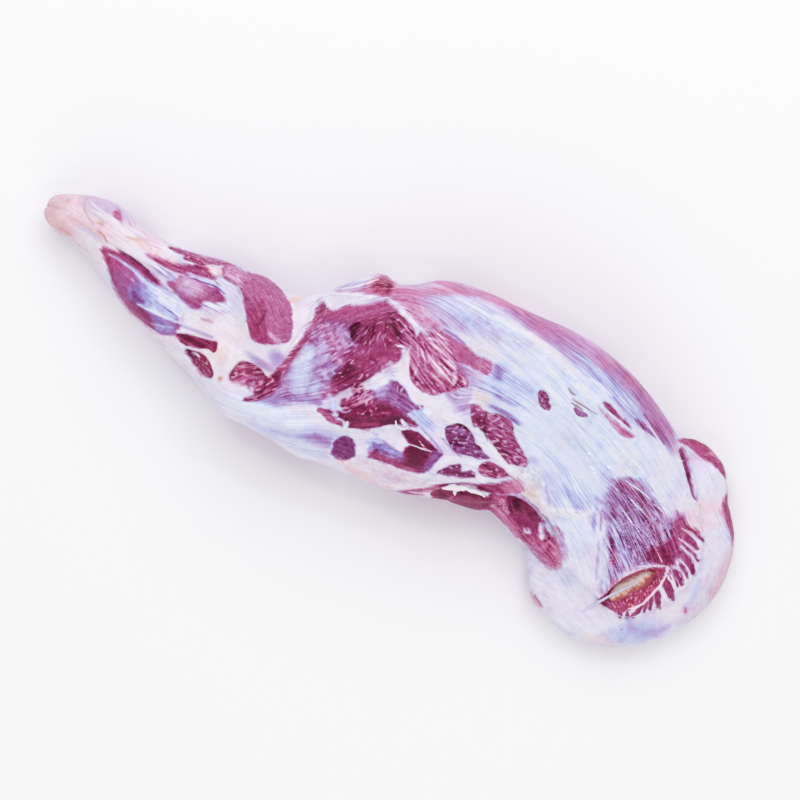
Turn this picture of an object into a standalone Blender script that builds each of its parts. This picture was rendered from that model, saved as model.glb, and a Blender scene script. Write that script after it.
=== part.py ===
"""Raw lamb shoulder with its shank, lying flat with the inner, rib side up.

+X runs from the knuckle of the shank to the cartilage edge of the blade, +Y is the thick outer side
of the blade, and z = 0 is the surface that the joint of meat lies on. Sizes are in millimetres, and
each mesh is made in metres.
"""

import math

import bmesh
import bpy
import numpy as np

MM = 0.001

# Driving dimensions, in millimetres.
STATION_STEP = 5.0  # along the meat
RING_POINTS = 56  # round each section
GAP = 0.3  # left round a bone where the meat closes over it
WRIST_X = -232.0  # where the meat ends and the knuckle shows
BLADE_TIP_X = 229.0  # where the meat thins out over the blade's cartilage
TIP_ROUNDING = 22.0  # length over which the blade end closes
TIP_STATIONS = 8

# The meat's edges seen from above: x, low edge y, high edge y.
EDGES = [
    (-232, -24, 5),
    (-222, -26, 8),
    (-212, -28, 10),
    (-200, -33, 8),
    (-188, -38, 5),
    (-176, -44, 5),
    (-160, -49, 6),
    (-145, -53, 10),
    (-130, -57, 13),
    (-115, -61, 16),
    (-100, -67, 17),
    (-90, -71, 15),
    (-82, -73, 16),
    (-72, -72, 22),
    (-60, -71, 35),
    (-48, -71, 49),
    (-38, -72, 56),
    (-28, -72, 56),
    (-18, -69, 61),
    (-6, -67, 71),
    (10, -65, 77),
    (30, -61, 80),
    (45, -57, 81),
    (55, -51, 82),
    (65, -44, 83),
    (80, -37, 85),
    (100, -29, 85),
    (115, -26, 83),
    (130, -30, 80),
    (145, -43, 75),
    (155, -50, 71),
    (165, -51, 66),
    (175, -52, 61),
    (185, -55, 54),
    (195, -58, 46),
    (205, -56, 34),
    (213, -49, 24),
    (220, -40, 15),
    (226, -28, 4),
    (229, -16, -6),
]

# How thick the meat is along its length: x, height of the crest, height of the widest place, and how
# much higher the +Y side stands than the -Y side.
THICKNESS = [
    (-232, 31, 16, 0),
    (-212, 34, 16, 0),
    (-190, 38, 17, 0),
    (-160, 43, 19, 0),
    (-130, 47, 21, 0),
    (-100, 51, 23, -2),
    (-70, 55, 25, -2),
    (-40, 59, 27, 0),
    (-10, 62, 28, 2),
    (20, 63, 29, 4),
    (50, 62, 30, 6),
    (80, 60, 30, 7),
    (110, 56, 29, 7),
    (140, 51, 28, 5),
    (170, 45, 28, 3),
    (200, 39, 28, 0),
    (220, 34, 28, 0),
    (229, 30, 28, 0),
]

TOP_FULLNESS = 0.78  # the power that squares the upper half of a section; 1 leaves it round
UNDERSIDE_FULLNESS = 0.92
SETTLE = 4.0  # how far a round underside would sink into the surface, which leaves that much of it flat

# Muscle bellies, fat and hollows of the upper side: x, y, length, width, turn in degrees, height.
RELIEF = {
    "wrist_pad": (-213, 3, 38, 18, -4, 3.0),
    "shank_flexor": (-166, -33, 90, 32, -14, 5.5),
    "shank_tendon": (-178, -11, 100, 14, -2, 3.5),
    "shank_inner_belly": (-134, -13, 54, 22, -6, 4.5),
    "shank_outer_cord": (-150, 4, 76, 16, 8, 3.5),
    "shank_groove": (-168, -19, 84, 12, -8, -3.0),
    "elbow_muscle": (-94, -2, 66, 36, -42, 7.0),
    "elbow_groove": (-110, -15, 60, 14, -42, -3.5),
    "elbow_fat": (-100, -42, 54, 40, 10, 4.0),
    "elbow_point": (-84, -62, 50, 26, -8, 5.0),
    "elbow_cut": (-79, -43, 34, 24, 0, -4.0),
    "arm_groove": (-68, 0, 70, 14, 84, -3.5),
    "arm_fat_strip": (-46, -58, 100, 24, 6, 5.5),
    "arm_front_muscle": (-46, 32, 60, 30, 52, 6.0),
    "arm_flat_muscle": (-50, -15, 66, 40, 70, 3.0),
    "arm_pit": (-30, 15, 32, 24, 20, -7.5),
    "arm_deep_cut": (-24, -13, 54, 18, 66, -6.5),
    "arm_back_muscle": (4, -19, 70, 34, 34, 6.5),
    "arm_low_muscle": (24, -38, 70, 30, 12, 5.0),
    "arm_low_groove": (-6, -46, 60, 12, 20, -3.0),
    "striped_muscle": (20, 20, 54, 40, -30, 6.0),
    "striped_seam": (-6, 20, 64, 14, 52, -5.0),
    "fan_muscle": (30, 60, 130, 40, 3, 5.0),
    "fan_groove": (66, 69, 100, 12, -2, -3.0),
    "outer_muscle": (100, 78, 160, 24, -2, 5.0),
    "blade_hollow": (76, 4, 70, 28, -24, -4.5),
    "small_hollow": (60, -11, 42, 20, -12, -5.0),
    "blade_sheet": (122, 22, 110, 66, -4, 4.0),
    "blade_dip": (192, 0, 76, 56, -12, -4.0),
    "blade_edge_crease": (186, 50, 50, 13, -38, -3.5),
}
RELIEF_FALLOFF = 1.7  # the power that fades a belly out towards its edge

# Spindle-shaped muscles below the ledge of the blade: two ends, half the width and half the height.
HANGING_MUSCLES = {
    "lower_lobe": ((52, -41, 17), (99, -32, 20), 11, 16),
    "hanging_muscle": ((82, -27, 22), (166, -44, 18), 12.5, 14),
    "ledge_root": ((60, -14, 16), (160, -26, 16), 16, 15),
    "brisket_strap": ((36, -55, 26), (112, -20, 38), 7, 9),
}
SPINDLE_RINGS = 15
SPINDLE_POINTS = 18
SPINDLE_FULLNESS = 0.7

# The knife slit through the muscle over the blade, and the bone that shows in it.
SLIT_CENTRE = (199, -37)
SLIT_TURN = 60  # degrees from +X
SLIT_LENGTH = 43
SLIT_WIDTH = 14
SLIT_FLOOR = 29
SLIT_REACH = 60  # how high the cut reaches, clear of the meat
BLADE_BONE_LENGTH = 35
BLADE_BONE_WIDTH = 8.5
BLADE_BONE_THICKNESS = 5

# The blade's cartilage, a round plate that the meat thins out over: angle in degrees from +X and
# outer radius about the centre.
CARTILAGE_CENTRE = (180, -10)
CARTILAGE_RADII = [
    (-150, 61),
    (-143, 65),
    (-132, 67),
    (-122, 71),
    (-113, 73),
    (-90, 75),
    (-60, 73),
    (-30, 70),
    (0, 70),
    (30, 70),
    (45, 69),
    (55, 72),
    (67, 78),
    (76, 78),
    (86, 75),
    (92, 70),
    (99, 62),
]
CARTILAGE_STEP = 6  # degrees between sections
CARTILAGE_INNER_RADIUS = 36  # hidden in the meat
CARTILAGE_SHOWN_RADIUS = 49  # where it comes out from under the meat
CARTILAGE_TOP = 27
CARTILAGE_RIM = 12  # height of the widest place of its edge
CARTILAGE_UNDERSIDE = 0.5
CARTILAGE_END_SIZE = 0.35  # how thick the two ends of the arc are, as a share before rounding
CARTILAGE_END_RISE = 4.5  # how soon the arc comes to its full thickness
CARTILAGE_END_ROUNDING = 0.6

# The knuckle at the end of the shank, and its plug in the meat.
KNUCKLE_MIDDLE = (-10.0, 15.5)  # y and z of its axis
KNUCKLE_REACH = 18.0  # how far it stands out of the meat
KNUCKLE_HALF_WIDTH = 14.5
KNUCKLE_HALF_HEIGHT = 15.0
KNUCKLE_FULLNESS = 0.95
KNUCKLE_SADDLE = 0.12  # how deep the flats between its humps are, as a share of the radius
KNUCKLE_DROOP = 3.0  # how far its tip leans to the -Y side
KNUCKLE_POINTS = 24
PLUG_RADIUS = 8.5
PLUG_LENGTH = 9.0

MEAT_COLOUR = (0.42, 0.08, 0.14, 1)
CARTILAGE_COLOUR = (0.80, 0.72, 0.76, 1)
BONE_COLOUR = (0.78, 0.66, 0.58, 1)


def smooth_between(rows, at):
    """The columns of rows after the first, read along the first column by a cubic with no overshoot."""
    table = np.array(rows, float)
    x, y = table[:, 0], table[:, 1:]
    steps = np.diff(x)[:, None]
    slopes = np.diff(y, axis=0) / steps
    tangents = np.zeros_like(y)
    same_way = slopes[:-1] * slopes[1:] > 0
    before, after = 2 * steps[1:] + steps[:-1], steps[1:] + 2 * steps[:-1]
    with np.errstate(divide="ignore", invalid="ignore"):
        mean = (before + after) / (before / slopes[:-1] + after / slopes[1:])
    tangents[1:-1] = np.where(same_way, mean, 0)
    tangents[0], tangents[-1] = slopes[0], slopes[-1]
    at = np.clip(np.asarray(at, float), x[0], x[-1])
    i = np.clip(np.searchsorted(x, at, side="right") - 1, 0, len(x) - 2)
    h = steps[i]
    t = ((at - x[i]) / h[:, 0])[:, None]
    return (
        (1 + 2 * t) * (1 - t) ** 2 * y[i]
        + t * (1 - t) ** 2 * h * tangents[i]
        + t**2 * (3 - 2 * t) * y[i + 1]
        + t**2 * (t - 1) * h * tangents[i + 1]
    )


def squared(value, power):
    """A sine or cosine raised to a power with its sign kept, which fills out or thins a round section."""
    return np.sign(value) * np.abs(value) ** power


def full_turn(points):
    return np.linspace(0, 2 * math.pi, points, endpoint=False)


def material(name, colour, roughness):
    made = bpy.data.materials.new(name)
    made.use_nodes = True
    shader = made.node_tree.nodes["Principled BSDF"]
    shader.inputs["Base Color"].default_value = colour
    shader.inputs["Roughness"].default_value = roughness
    return made


def object_from_rings(name, rings, look):
    """A closed mesh object from rings of points in millimetres, with a fan of triangles at both ends."""
    mesh = bmesh.new()
    rows = [[mesh.verts.new([c * MM for c in point]) for point in ring] for ring in rings]
    around = len(rings[0])
    for row, following in zip(rows, rows[1:]):
        for i in range(around):
            j = (i + 1) % around
            mesh.faces.new((row[i], row[j], following[j]))
            mesh.faces.new((row[i], following[j], following[i]))
    for row in (rows[0], rows[-1]):
        centre = mesh.verts.new(sum((v.co for v in row), row[0].co * 0) / around)
        for i in range(around):
            mesh.faces.new((row[i], row[(i + 1) % around], centre))
    bmesh.ops.recalc_face_normals(mesh, faces=mesh.faces)
    data = bpy.data.meshes.new(name)
    mesh.to_mesh(data)
    mesh.free()
    data.materials.append(look)
    data.shade_smooth()
    made = bpy.data.objects.new(name, data)
    bpy.context.scene.collection.objects.link(made)
    return made


def add_boolean(target, operation, cutter):
    cutter.hide_render = True
    cutter.display_type = "WIRE"
    modifier = target.modifiers.new(f"{operation.lower()}_{cutter.name}", "BOOLEAN")
    modifier.operation = operation
    modifier.object = cutter


def relief_at(x, y):
    """Height that the muscle bellies and hollows add at places of the upper side."""
    total = np.zeros_like(y)
    for centre_x, centre_y, length, width, turn, height in RELIEF.values():
        cos, sin = math.cos(math.radians(turn)), math.sin(math.radians(turn))
        along = (x - centre_x) * cos + (y - centre_y) * sin
        across = (y - centre_y) * cos - (x - centre_x) * sin
        inside = 1 - (2 * along / length) ** 2 - (2 * across / width) ** 2
        total += height * np.clip(inside, 0, 1) ** RELIEF_FALLOFF
    return total


def meat_stations():
    """Even stations along the meat, then closer ones where its blade end rounds off."""
    tip_start = BLADE_TIP_X - TIP_ROUNDING
    even = np.arange(WRIST_X, tip_start - STATION_STEP / 2, STATION_STEP)
    closing = tip_start + TIP_ROUNDING * np.sin(np.linspace(0, math.pi / 2, TIP_STATIONS))
    return np.concatenate([even, closing])


def meat_rings():
    stations = meat_stations()
    edges = smooth_between(EDGES, stations)
    thickness = smooth_between(THICKNESS, stations)
    turns = full_turn(RING_POINTS)
    rings = []
    for x, (low, high), (crest, rim, lean) in zip(stations, edges, thickness):
        upper_half = np.sin(turns) >= 0
        side = squared(np.cos(turns), np.where(upper_half, TOP_FULLNESS, UNDERSIDE_FULLNESS))
        y = (low + high) / 2 + (high - low) / 2 * side
        top = rim + (crest - rim + lean * side) * np.abs(np.sin(turns)) ** TOP_FULLNESS
        top += relief_at(x, y) * np.clip(2 * np.sin(turns), 0, 1)
        underside = rim - (rim + SETTLE) * np.abs(np.sin(turns)) ** UNDERSIDE_FULLNESS
        z = np.where(upper_half, top, np.maximum(underside, 0))
        rings.append(np.stack([np.full_like(y, x), y, z], axis=1))
    return rings


def spindle_rings(start, end, half_width, half_height):
    """A muscle that swells between two points and ends round."""
    start, end = np.array(start, float), np.array(end, float)
    run = (end - start) / np.linalg.norm(end - start)
    across = np.cross((0, 0, 1), run)
    across /= np.linalg.norm(across)
    up = np.cross(run, across)
    tip = 0.02 * math.pi
    rings = []
    for t in np.linspace(tip, math.pi - tip, SPINDLE_RINGS):
        centre = (start + end) / 2 - math.cos(t) * (end - start) / 2
        swell = math.sin(t) ** SPINDLE_FULLNESS
        turns = full_turn(SPINDLE_POINTS)[:, None]
        rim = half_width * np.cos(turns) * across + half_height * np.sin(turns) * up
        rings.append(centre + swell * rim)
    return rings


def slit_rings(length, width, low, high):
    """An eye-shaped block along the slit, a little narrower at its foot."""
    turns = full_turn(28)
    along = length / 2 * np.cos(turns)
    across = width / 2 * np.sin(turns) * np.abs(np.sin(turns)) ** 0.35
    cos, sin = math.cos(math.radians(SLIT_TURN)), math.sin(math.radians(SLIT_TURN))
    rings = []
    for z, size in ((low, 0.9), ((low + high) / 2, 0.97), (high, 1.0)):
        x = SLIT_CENTRE[0] + size * (along * cos - across * sin)
        y = SLIT_CENTRE[1] + size * (along * sin + across * cos)
        rings.append(np.stack([x, y, np.full_like(x, z)], axis=1))
    return rings


def cartilage_rings(grow=0.0):
    """Sections through the plate, one at each angle, which thin out at both ends of the arc."""
    first, last = CARTILAGE_RADII[0][0], CARTILAGE_RADII[-1][0]
    angles = np.arange(first, last + CARTILAGE_STEP / 2, CARTILAGE_STEP, dtype=float)
    radii = smooth_between(CARTILAGE_RADII, angles)[:, 0]
    shares = np.linspace(0, 1, len(angles))
    sizes = np.minimum(1, CARTILAGE_END_SIZE + CARTILAGE_END_RISE * np.minimum(shares, 1 - shares))
    end_shift = math.degrees(grow / CARTILAGE_INNER_RADIUS)
    angles[0] -= end_shift
    angles[-1] += end_shift
    rings = []
    for angle, outer, size in zip(np.radians(angles), radii, sizes**CARTILAGE_END_ROUNDING):
        top, rim = CARTILAGE_TOP * size, CARTILAGE_RIM * size
        slope = outer - CARTILAGE_SHOWN_RADIUS
        # Radius and height, from the inner foot round the rim and back over the upper side.
        section = [
            (CARTILAGE_INNER_RADIUS - grow, CARTILAGE_UNDERSIDE - 2 * grow),
            (outer - 13, CARTILAGE_UNDERSIDE - 2 * grow),
            (outer - 6, 2 - grow),
            (outer - 1.5 + grow, 0.55 * rim),
            (outer + grow, rim + 1),
            (outer - 1.8 + grow, 1.42 * rim + grow),
            (outer - 0.32 * slope + grow, 0.45 * rim + 0.62 * top + grow),
            (outer - 0.62 * slope, 0.93 * top + grow),
            (CARTILAGE_SHOWN_RADIUS, top + grow),
            (CARTILAGE_INNER_RADIUS - grow, top + 1 + grow),
        ]
        radius, z = np.array(section).T
        x = CARTILAGE_CENTRE[0] + radius * math.cos(angle)
        y = CARTILAGE_CENTRE[1] + radius * math.sin(angle)
        rings.append(np.stack([x, y, z], axis=1))
    return rings


def plug_rings(radius, first_x, last_x):
    turns = full_turn(KNUCKLE_POINTS)
    y = KNUCKLE_MIDDLE[0] + radius * np.cos(turns)
    z = KNUCKLE_MIDDLE[1] + radius * np.sin(turns)
    return [np.stack([np.full_like(y, x), y, z], axis=1) for x in (first_x, (first_x + last_x) / 2, last_x)]


def knuckle_rings():
    """The plug in the meat, then the bone's head, with flats between four soft humps."""
    face_x = WRIST_X - GAP
    rings = plug_rings(PLUG_RADIUS, face_x + PLUG_LENGTH, face_x)
    turns = full_turn(KNUCKLE_POINTS)
    for t in np.linspace(0, 0.46 * math.pi, 8):
        reach = math.sin(t)
        swell = math.cos(t) ** KNUCKLE_FULLNESS * (1 - KNUCKLE_SADDLE * reach * np.cos(2 * turns) ** 2)
        y = KNUCKLE_MIDDLE[0] - KNUCKLE_DROOP * reach + KNUCKLE_HALF_WIDTH * swell * np.cos(turns)
        z = KNUCKLE_MIDDLE[1] + KNUCKLE_HALF_HEIGHT * swell * np.sin(turns)
        rings.append(np.stack([np.full_like(y, face_x - KNUCKLE_REACH * reach), y, z], axis=1))
    return rings


def build_meat(look):
    meat = object_from_rings("meat", meat_rings(), look)
    for name, shape in HANGING_MUSCLES.items():
        add_boolean(meat, "UNION", object_from_rings(name, spindle_rings(*shape), look))
    socket = plug_rings(PLUG_RADIUS + GAP, WRIST_X - PLUG_LENGTH, WRIST_X + PLUG_LENGTH)
    slit = slit_rings(SLIT_LENGTH, SLIT_WIDTH, SLIT_FLOOR, SLIT_REACH)
    hollows = {"cartilage_pocket": cartilage_rings(GAP), "plug_socket": socket, "knife_slit": slit}
    for name, rings in hollows.items():
        add_boolean(meat, "DIFFERENCE", object_from_rings(name, rings, look))


def build_blade_bone(look):
    low = SLIT_FLOOR + GAP
    rings = slit_rings(BLADE_BONE_LENGTH, BLADE_BONE_WIDTH, low, low + BLADE_BONE_THICKNESS)
    object_from_rings("blade_bone", rings, look)


def main():
    for old in list(bpy.data.objects):
        bpy.data.objects.remove(old)
    build_meat(material("raw_meat", MEAT_COLOUR, 0.35))
    bone = material("bone", BONE_COLOUR, 0.45)
    object_from_rings("blade_cartilage", cartilage_rings(), material("cartilage", CARTILAGE_COLOUR, 0.4))
    object_from_rings("shank_knuckle", knuckle_rings(), bone)
    build_blade_bone(bone)


main()
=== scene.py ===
import functools
import itertools
import math

import bmesh
import bpy
import numpy as np
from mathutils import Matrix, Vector


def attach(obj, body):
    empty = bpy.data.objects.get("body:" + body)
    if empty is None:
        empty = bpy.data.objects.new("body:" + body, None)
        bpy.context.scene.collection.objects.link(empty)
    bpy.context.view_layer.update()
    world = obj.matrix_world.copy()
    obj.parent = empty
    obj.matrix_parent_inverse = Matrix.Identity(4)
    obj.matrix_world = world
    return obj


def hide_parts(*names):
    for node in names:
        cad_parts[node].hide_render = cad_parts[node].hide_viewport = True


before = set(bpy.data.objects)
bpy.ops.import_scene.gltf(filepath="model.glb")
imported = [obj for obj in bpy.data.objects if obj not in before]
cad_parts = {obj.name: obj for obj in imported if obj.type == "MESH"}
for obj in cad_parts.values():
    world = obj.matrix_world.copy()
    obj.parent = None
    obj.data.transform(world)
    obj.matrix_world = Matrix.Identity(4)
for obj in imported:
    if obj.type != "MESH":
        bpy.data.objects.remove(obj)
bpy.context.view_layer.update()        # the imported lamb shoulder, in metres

mm = 0.001

# The photograph looks straight down. Outlines below are in millimetres on the plane that it is sharp on,
# with +X along the meat from the knuckle to the blade.
camera = {
    "foot": (10.06, -7.89),        # mm, the point straight below it
    "planeHeight": 30.0,           # mm above the table
    "distance": 1420.0,            # mm above that plane
    "lens": 100.0,
    "turn": 30.0,                  # degrees, so that the meat runs down to the right
}


def linear(hexColour):
    channels = [int(hexColour[i:i + 2], 16) / 255 for i in (1, 3, 5)]
    return [c / 12.92 if c <= 0.04045 else ((c + 0.055) / 1.055) ** 2.4 for c in channels] + [1.0]


def smoothStep(value):
    value = np.clip(value, 0, 1)
    return value * value * (3 - 2 * value)


def latticeNoise(points, seed, tableSize=4096):
    # soft random bumps, about -1 to 1, one for each unit
    table = np.random.default_rng(seed).uniform(-1, 1, tableSize)
    primes = np.array([73856093, 19349663, 83492791])[:points.shape[1]]
    cell = np.floor(points).astype(np.int64)
    share = points - cell
    share = share * share * (3 - 2 * share)
    total = np.zeros(len(points))
    for corner in itertools.product((0, 1), repeat=points.shape[1]):
        key = np.bitwise_xor.reduce((cell + corner) * primes, axis=1) & (tableSize - 1)
        total += table[key] * np.prod(np.where(corner, share, 1 - share), axis=1)
    return total


def smoothPath(points, closed, step=1.5):
    # a smooth curve through hand-set points, cut into short straight steps
    points = np.array(points, float)
    count = len(points)
    path = []
    for i in range(count if closed else count - 1):
        if closed:
            a, b, c, d = (points[(i + k) % count] for k in (-1, 0, 1, 2))
        else:
            a, b, c, d = (points[min(max(i + k, 0), count - 1)] for k in (-1, 0, 1, 2))
        pieces = max(1, int(np.linalg.norm(c[:2] - b[:2]) / step))
        for t in np.arange(pieces) / pieces:
            path.append(0.5 * (2 * b + (c - a) * t + (2 * a - 5 * b + 4 * c - d) * t**2
                               + (3 * b - a - 3 * c + d) * t**3))
    if not closed:
        path.append(points[-1])
    return np.array(path)


def nearSegments(places, path, closed):
    # distance to a line of straight steps, and how far along it the nearest point lies
    best = np.full(len(places), np.inf)
    nearest = np.zeros(len(places))
    ends = np.roll(path, -1, axis=0) if closed else path[1:]
    for i, (start, end) in enumerate(zip(path[:len(ends)], ends)):
        run = end[:2] - start[:2]
        t = np.clip((places - start[:2]) @ run / max(run @ run, 1e-9), 0, 1)
        distance = np.hypot(*(places - start[:2] - t[:, None] * run).T)
        closer = distance < best
        best[closer] = distance[closer]
        nearest[closer] = i + t[closer]
    return best, nearest


def insideOutline(places, path):
    inside = np.zeros(len(places), bool)
    x, y = places.T
    for (x0, y0), (x1, y1) in zip(path, np.roll(path, -1, axis=0)):
        if y0 != y1:
            inside ^= ((y0 > y) != (y1 > y)) & (x < x0 + (y - y0) * (x1 - x0) / (y1 - y0))
    return inside


def placesNear(places, path, reach):
    low, high = path[:, :2].min(0) - reach, path[:, :2].max(0) + reach
    return np.flatnonzero(((places > low) & (places < high)).all(1))


def outlineDepth(places, outline, reach):
    # which places are near an outline, and how deep inside it each lies (outside is below zero)
    path = smoothPath(outline, closed=True)
    near = placesNear(places, path, reach)
    depth, _ = nearSegments(places[near], path, closed=True)
    return near, np.where(insideOutline(places[near], path), depth, -depth)


def strandDepth(places, strand, reach):
    # the same for a strand of (x, y, width) points, with half its width at the nearest point
    path = smoothPath(strand, closed=False)
    near = placesNear(places, path, reach)
    distance, at = nearSegments(places[near], path, closed=False)
    half = np.interp(at, np.arange(len(path)), path[:, 2]) / 2
    return near, half - distance, half


# The skin: one surface grown over the solids
skinMesh = {
    "voxel": 0.95,         # mm, the grid that the surface is drawn on
    "roundings": 14,       # passes that take the facets out
    # mm that each solid grows, which closes the gaps between them; the bone fills the slit, cut again below
    "swell": {"meat": 0.35, "blade_cartilage": 0.35, "shank_knuckle": 0.35, "blade_bone": 3.2},
    # the steep sides and the underside get by with fewer triangles
    "thinnedBelow": 36.0,  # mm
    "thinnedLean": 0.4,    # how far such a side may face up, 0 to 1
    "triangles": 196000,
}


def applyModifiers(piece):
    made = bpy.data.meshes.new_from_object(piece.evaluated_get(bpy.context.evaluated_depsgraph_get()))
    piece.modifiers.clear()
    piece.data = made


def meshPoints(mesh):
    flat = np.empty(len(mesh.vertices) * 3)
    mesh.vertices.foreach_get("co", flat)
    return flat.reshape(-1, 3) / mm


def setMeshPoints(mesh, points):
    mesh.vertices.foreach_set("co", (points * mm).ravel())
    mesh.update()


def meshNormals(mesh):
    flat = np.empty(len(mesh.vertices) * 3)
    mesh.vertex_normals.foreach_get("vector", flat)
    return flat.reshape(-1, 3)


def meshEdges(mesh):
    flat = np.empty(len(mesh.edges) * 2, np.int32)
    mesh.edges.foreach_get("vertices", flat)
    return flat.reshape(-1, 2)


def addLayer(mesh, name, values):
    mesh.attributes.new(name, "FLOAT", "POINT").data.foreach_set("value", np.array(values, np.float32))


def newPiece(name, mesh):
    # a piece of the scene from what bmesh has drawn
    data = bpy.data.meshes.new(name)
    mesh.to_mesh(data)
    mesh.free()
    piece = bpy.data.objects.new(name, data)
    bpy.context.scene.collection.objects.link(piece)
    return piece


def grownTogether(name, swells, voxel):
    joined = bmesh.new()
    for node, swell in swells.items():
        part = bmesh.new()
        part.from_mesh(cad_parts[node].data)
        bmesh.ops.remove_doubles(part, verts=part.verts, dist=1e-6)
        bmesh.ops.recalc_face_normals(part, faces=part.faces)
        part.normal_update()
        for vert in part.verts:
            vert.co += vert.normal * swell * mm
        grown = bpy.data.meshes.new(node + "Grown")
        part.to_mesh(grown)
        part.free()
        joined.from_mesh(grown)
        bpy.data.meshes.remove(grown)
    piece = newPiece(name, joined)
    remesh = piece.modifiers.new("grown", "REMESH")
    remesh.mode = "VOXEL"
    remesh.voxel_size = voxel * mm
    applyModifiers(piece)
    return piece


def thinSides(piece, settings):
    points = meshPoints(piece.data)
    steep = meshNormals(piece.data)[:, 2] < settings["thinnedLean"]
    group = piece.vertex_groups.new(name="thinned")
    hidden = np.flatnonzero((points[:, 2] < settings["thinnedBelow"]) & steep)
    group.add([int(i) for i in hidden], 1.0, "REPLACE")
    thin = piece.modifiers.new("thin", "DECIMATE")
    thin.vertex_group = group.name
    thin.ratio = min(1.0, settings["triangles"] / (2 * len(piece.data.polygons)))
    applyModifiers(piece)
    piece.vertex_groups.clear()


def smoothed(points, edges, passes, share=0.6, back=0.85):
    # each pass moves every point part of the way to the middle of its neighbours, then a little back
    a, b = edges.T
    count = np.bincount(np.concatenate([a, b]), minlength=len(points))
    for step in range(passes * 2):
        move = np.empty_like(points)
        for axis in range(points.shape[1]):
            value = points[:, axis]
            total = np.bincount(a, value[b], len(points)) + np.bincount(b, value[a], len(points))
            move[:, axis] = total / np.maximum(count, 1) - value
        points = points + move * (share if step % 2 == 0 else -share * back)
    return points


skin = grownTogether("lambShoulderSkin", skinMesh["swell"], skinMesh["voxel"])
print("skin grown over the solids:", len(skin.data.polygons), "faces")
setMeshPoints(skin.data, smoothed(meshPoints(skin.data), meshEdges(skin.data), skinMesh["roundings"]))
thinSides(skin, skinMesh)
print("sides and underside thinned:", sum(len(face.vertices) - 2 for face in skin.data.polygons), "triangles")
points = meshPoints(skin.data)
points[:, 2] = np.maximum(points[:, 2], 0)


def photoPlan(points):
    # where each point is seen on the photograph's plane, mm
    foot = np.array(camera["foot"])
    drop = (camera["distance"] / (camera["distance"] + camera["planeHeight"] - points[:, 2]))[:, None]
    return foot + (points[:, :2] - foot) * drop


def photoPlace(places, height):
    # where what is seen at a place of that plane lies on the meat at that height
    foot = np.array(camera["foot"])
    rise = (camera["distance"] + camera["planeHeight"] - height) / camera["distance"]
    return foot + (places - foot) * rise[:, None]


# The knife slit over the blade: a steep dark wall on the left, bone at the foot and a slope on the right
knifeSlit = {
    "outline": [(184, -55), (186.5, -46), (190, -36), (193.5, -30), (199, -23.5), (205, -18.5),
                (211.5, -16.5), (213, -21), (213, -28), (211.5, -36), (209, -43), (205.5, -49), (199, -56),
                (191, -57)],
    "foot": [(187.4, -54), (190.4, -43), (194.6, -34.4), (200.6, -27.4), (207, -21)],
    "drop": 6.5,           # mm
    "wall": 2.0,           # mm from the left edge to the foot
    "slope": 8.0,          # mm from the foot to the right edge
    "lowest": 20.0,        # mm, nothing below this is cut
}


def slitDrop(places, slit):
    # mm that each place sinks
    near, depth = outlineDepth(places, slit["outline"], 2)
    foot = smoothPath(slit["foot"], closed=False)
    away, at = nearSegments(places[near], foot, closed=False)
    step = np.clip(at.astype(int), 0, len(foot) - 2)
    run = foot[step + 1] - foot[step]
    side = run[:, 0] * (places[near, 1] - foot[step, 1]) - run[:, 1] * (places[near, 0] - foot[step, 0])
    width = np.where(side > 0, slit["wall"], slit["slope"])
    ends = smoothStep(np.minimum(at, len(foot) - 1 - at) / 4)
    share = smoothStep(1.25 - away / width) * smoothStep(depth / 1.2 + 0.3) * (0.35 + 0.65 * ends)
    return near, share * slit["drop"]


def cutSlit(points, slit):
    # fills the slit's mouth level with the meat round it, then sinks it again; returns the points that sink
    places = photoPlan(points)
    near, depth = outlineDepth(places, slit["outline"], 4)
    high = points[near, 2] > slit["lowest"]
    ring = near[(depth < -0.8) & high]
    lid = near[(depth > -0.8) & high]
    level = np.linalg.lstsq(np.c_[places[ring], np.ones(len(ring))], points[ring, 2], rcond=None)[0]
    points[lid, 2] = np.maximum(points[lid, 2], np.c_[places[lid], np.ones(len(lid))] @ level)
    near, sinks = slitDrop(places, slit)
    sinks[points[near, 2] < slit["lowest"]] = 0
    points[near, 2] -= sinks
    print("slit cut, the meat round it", round(float(points[ring, 2].mean()), 1), "mm high")
    return near[sinks > 0.2]


sunk = cutSlit(points, knifeSlit)
setMeshPoints(skin.data, points)
edges = meshEdges(skin.data)
normals = meshNormals(skin.data)
plan = photoPlan(points)
shown = smoothStep(normals[:, 2] / 0.5 + 0.7)      # 1 on the upper side, 0 below
lean = smoothed(normals[:, 2:], edges, 10)[:, 0]   # how far it faces up, leaving small relief out
shown[sunk] = 1
lean[sunk] = 1

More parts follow.
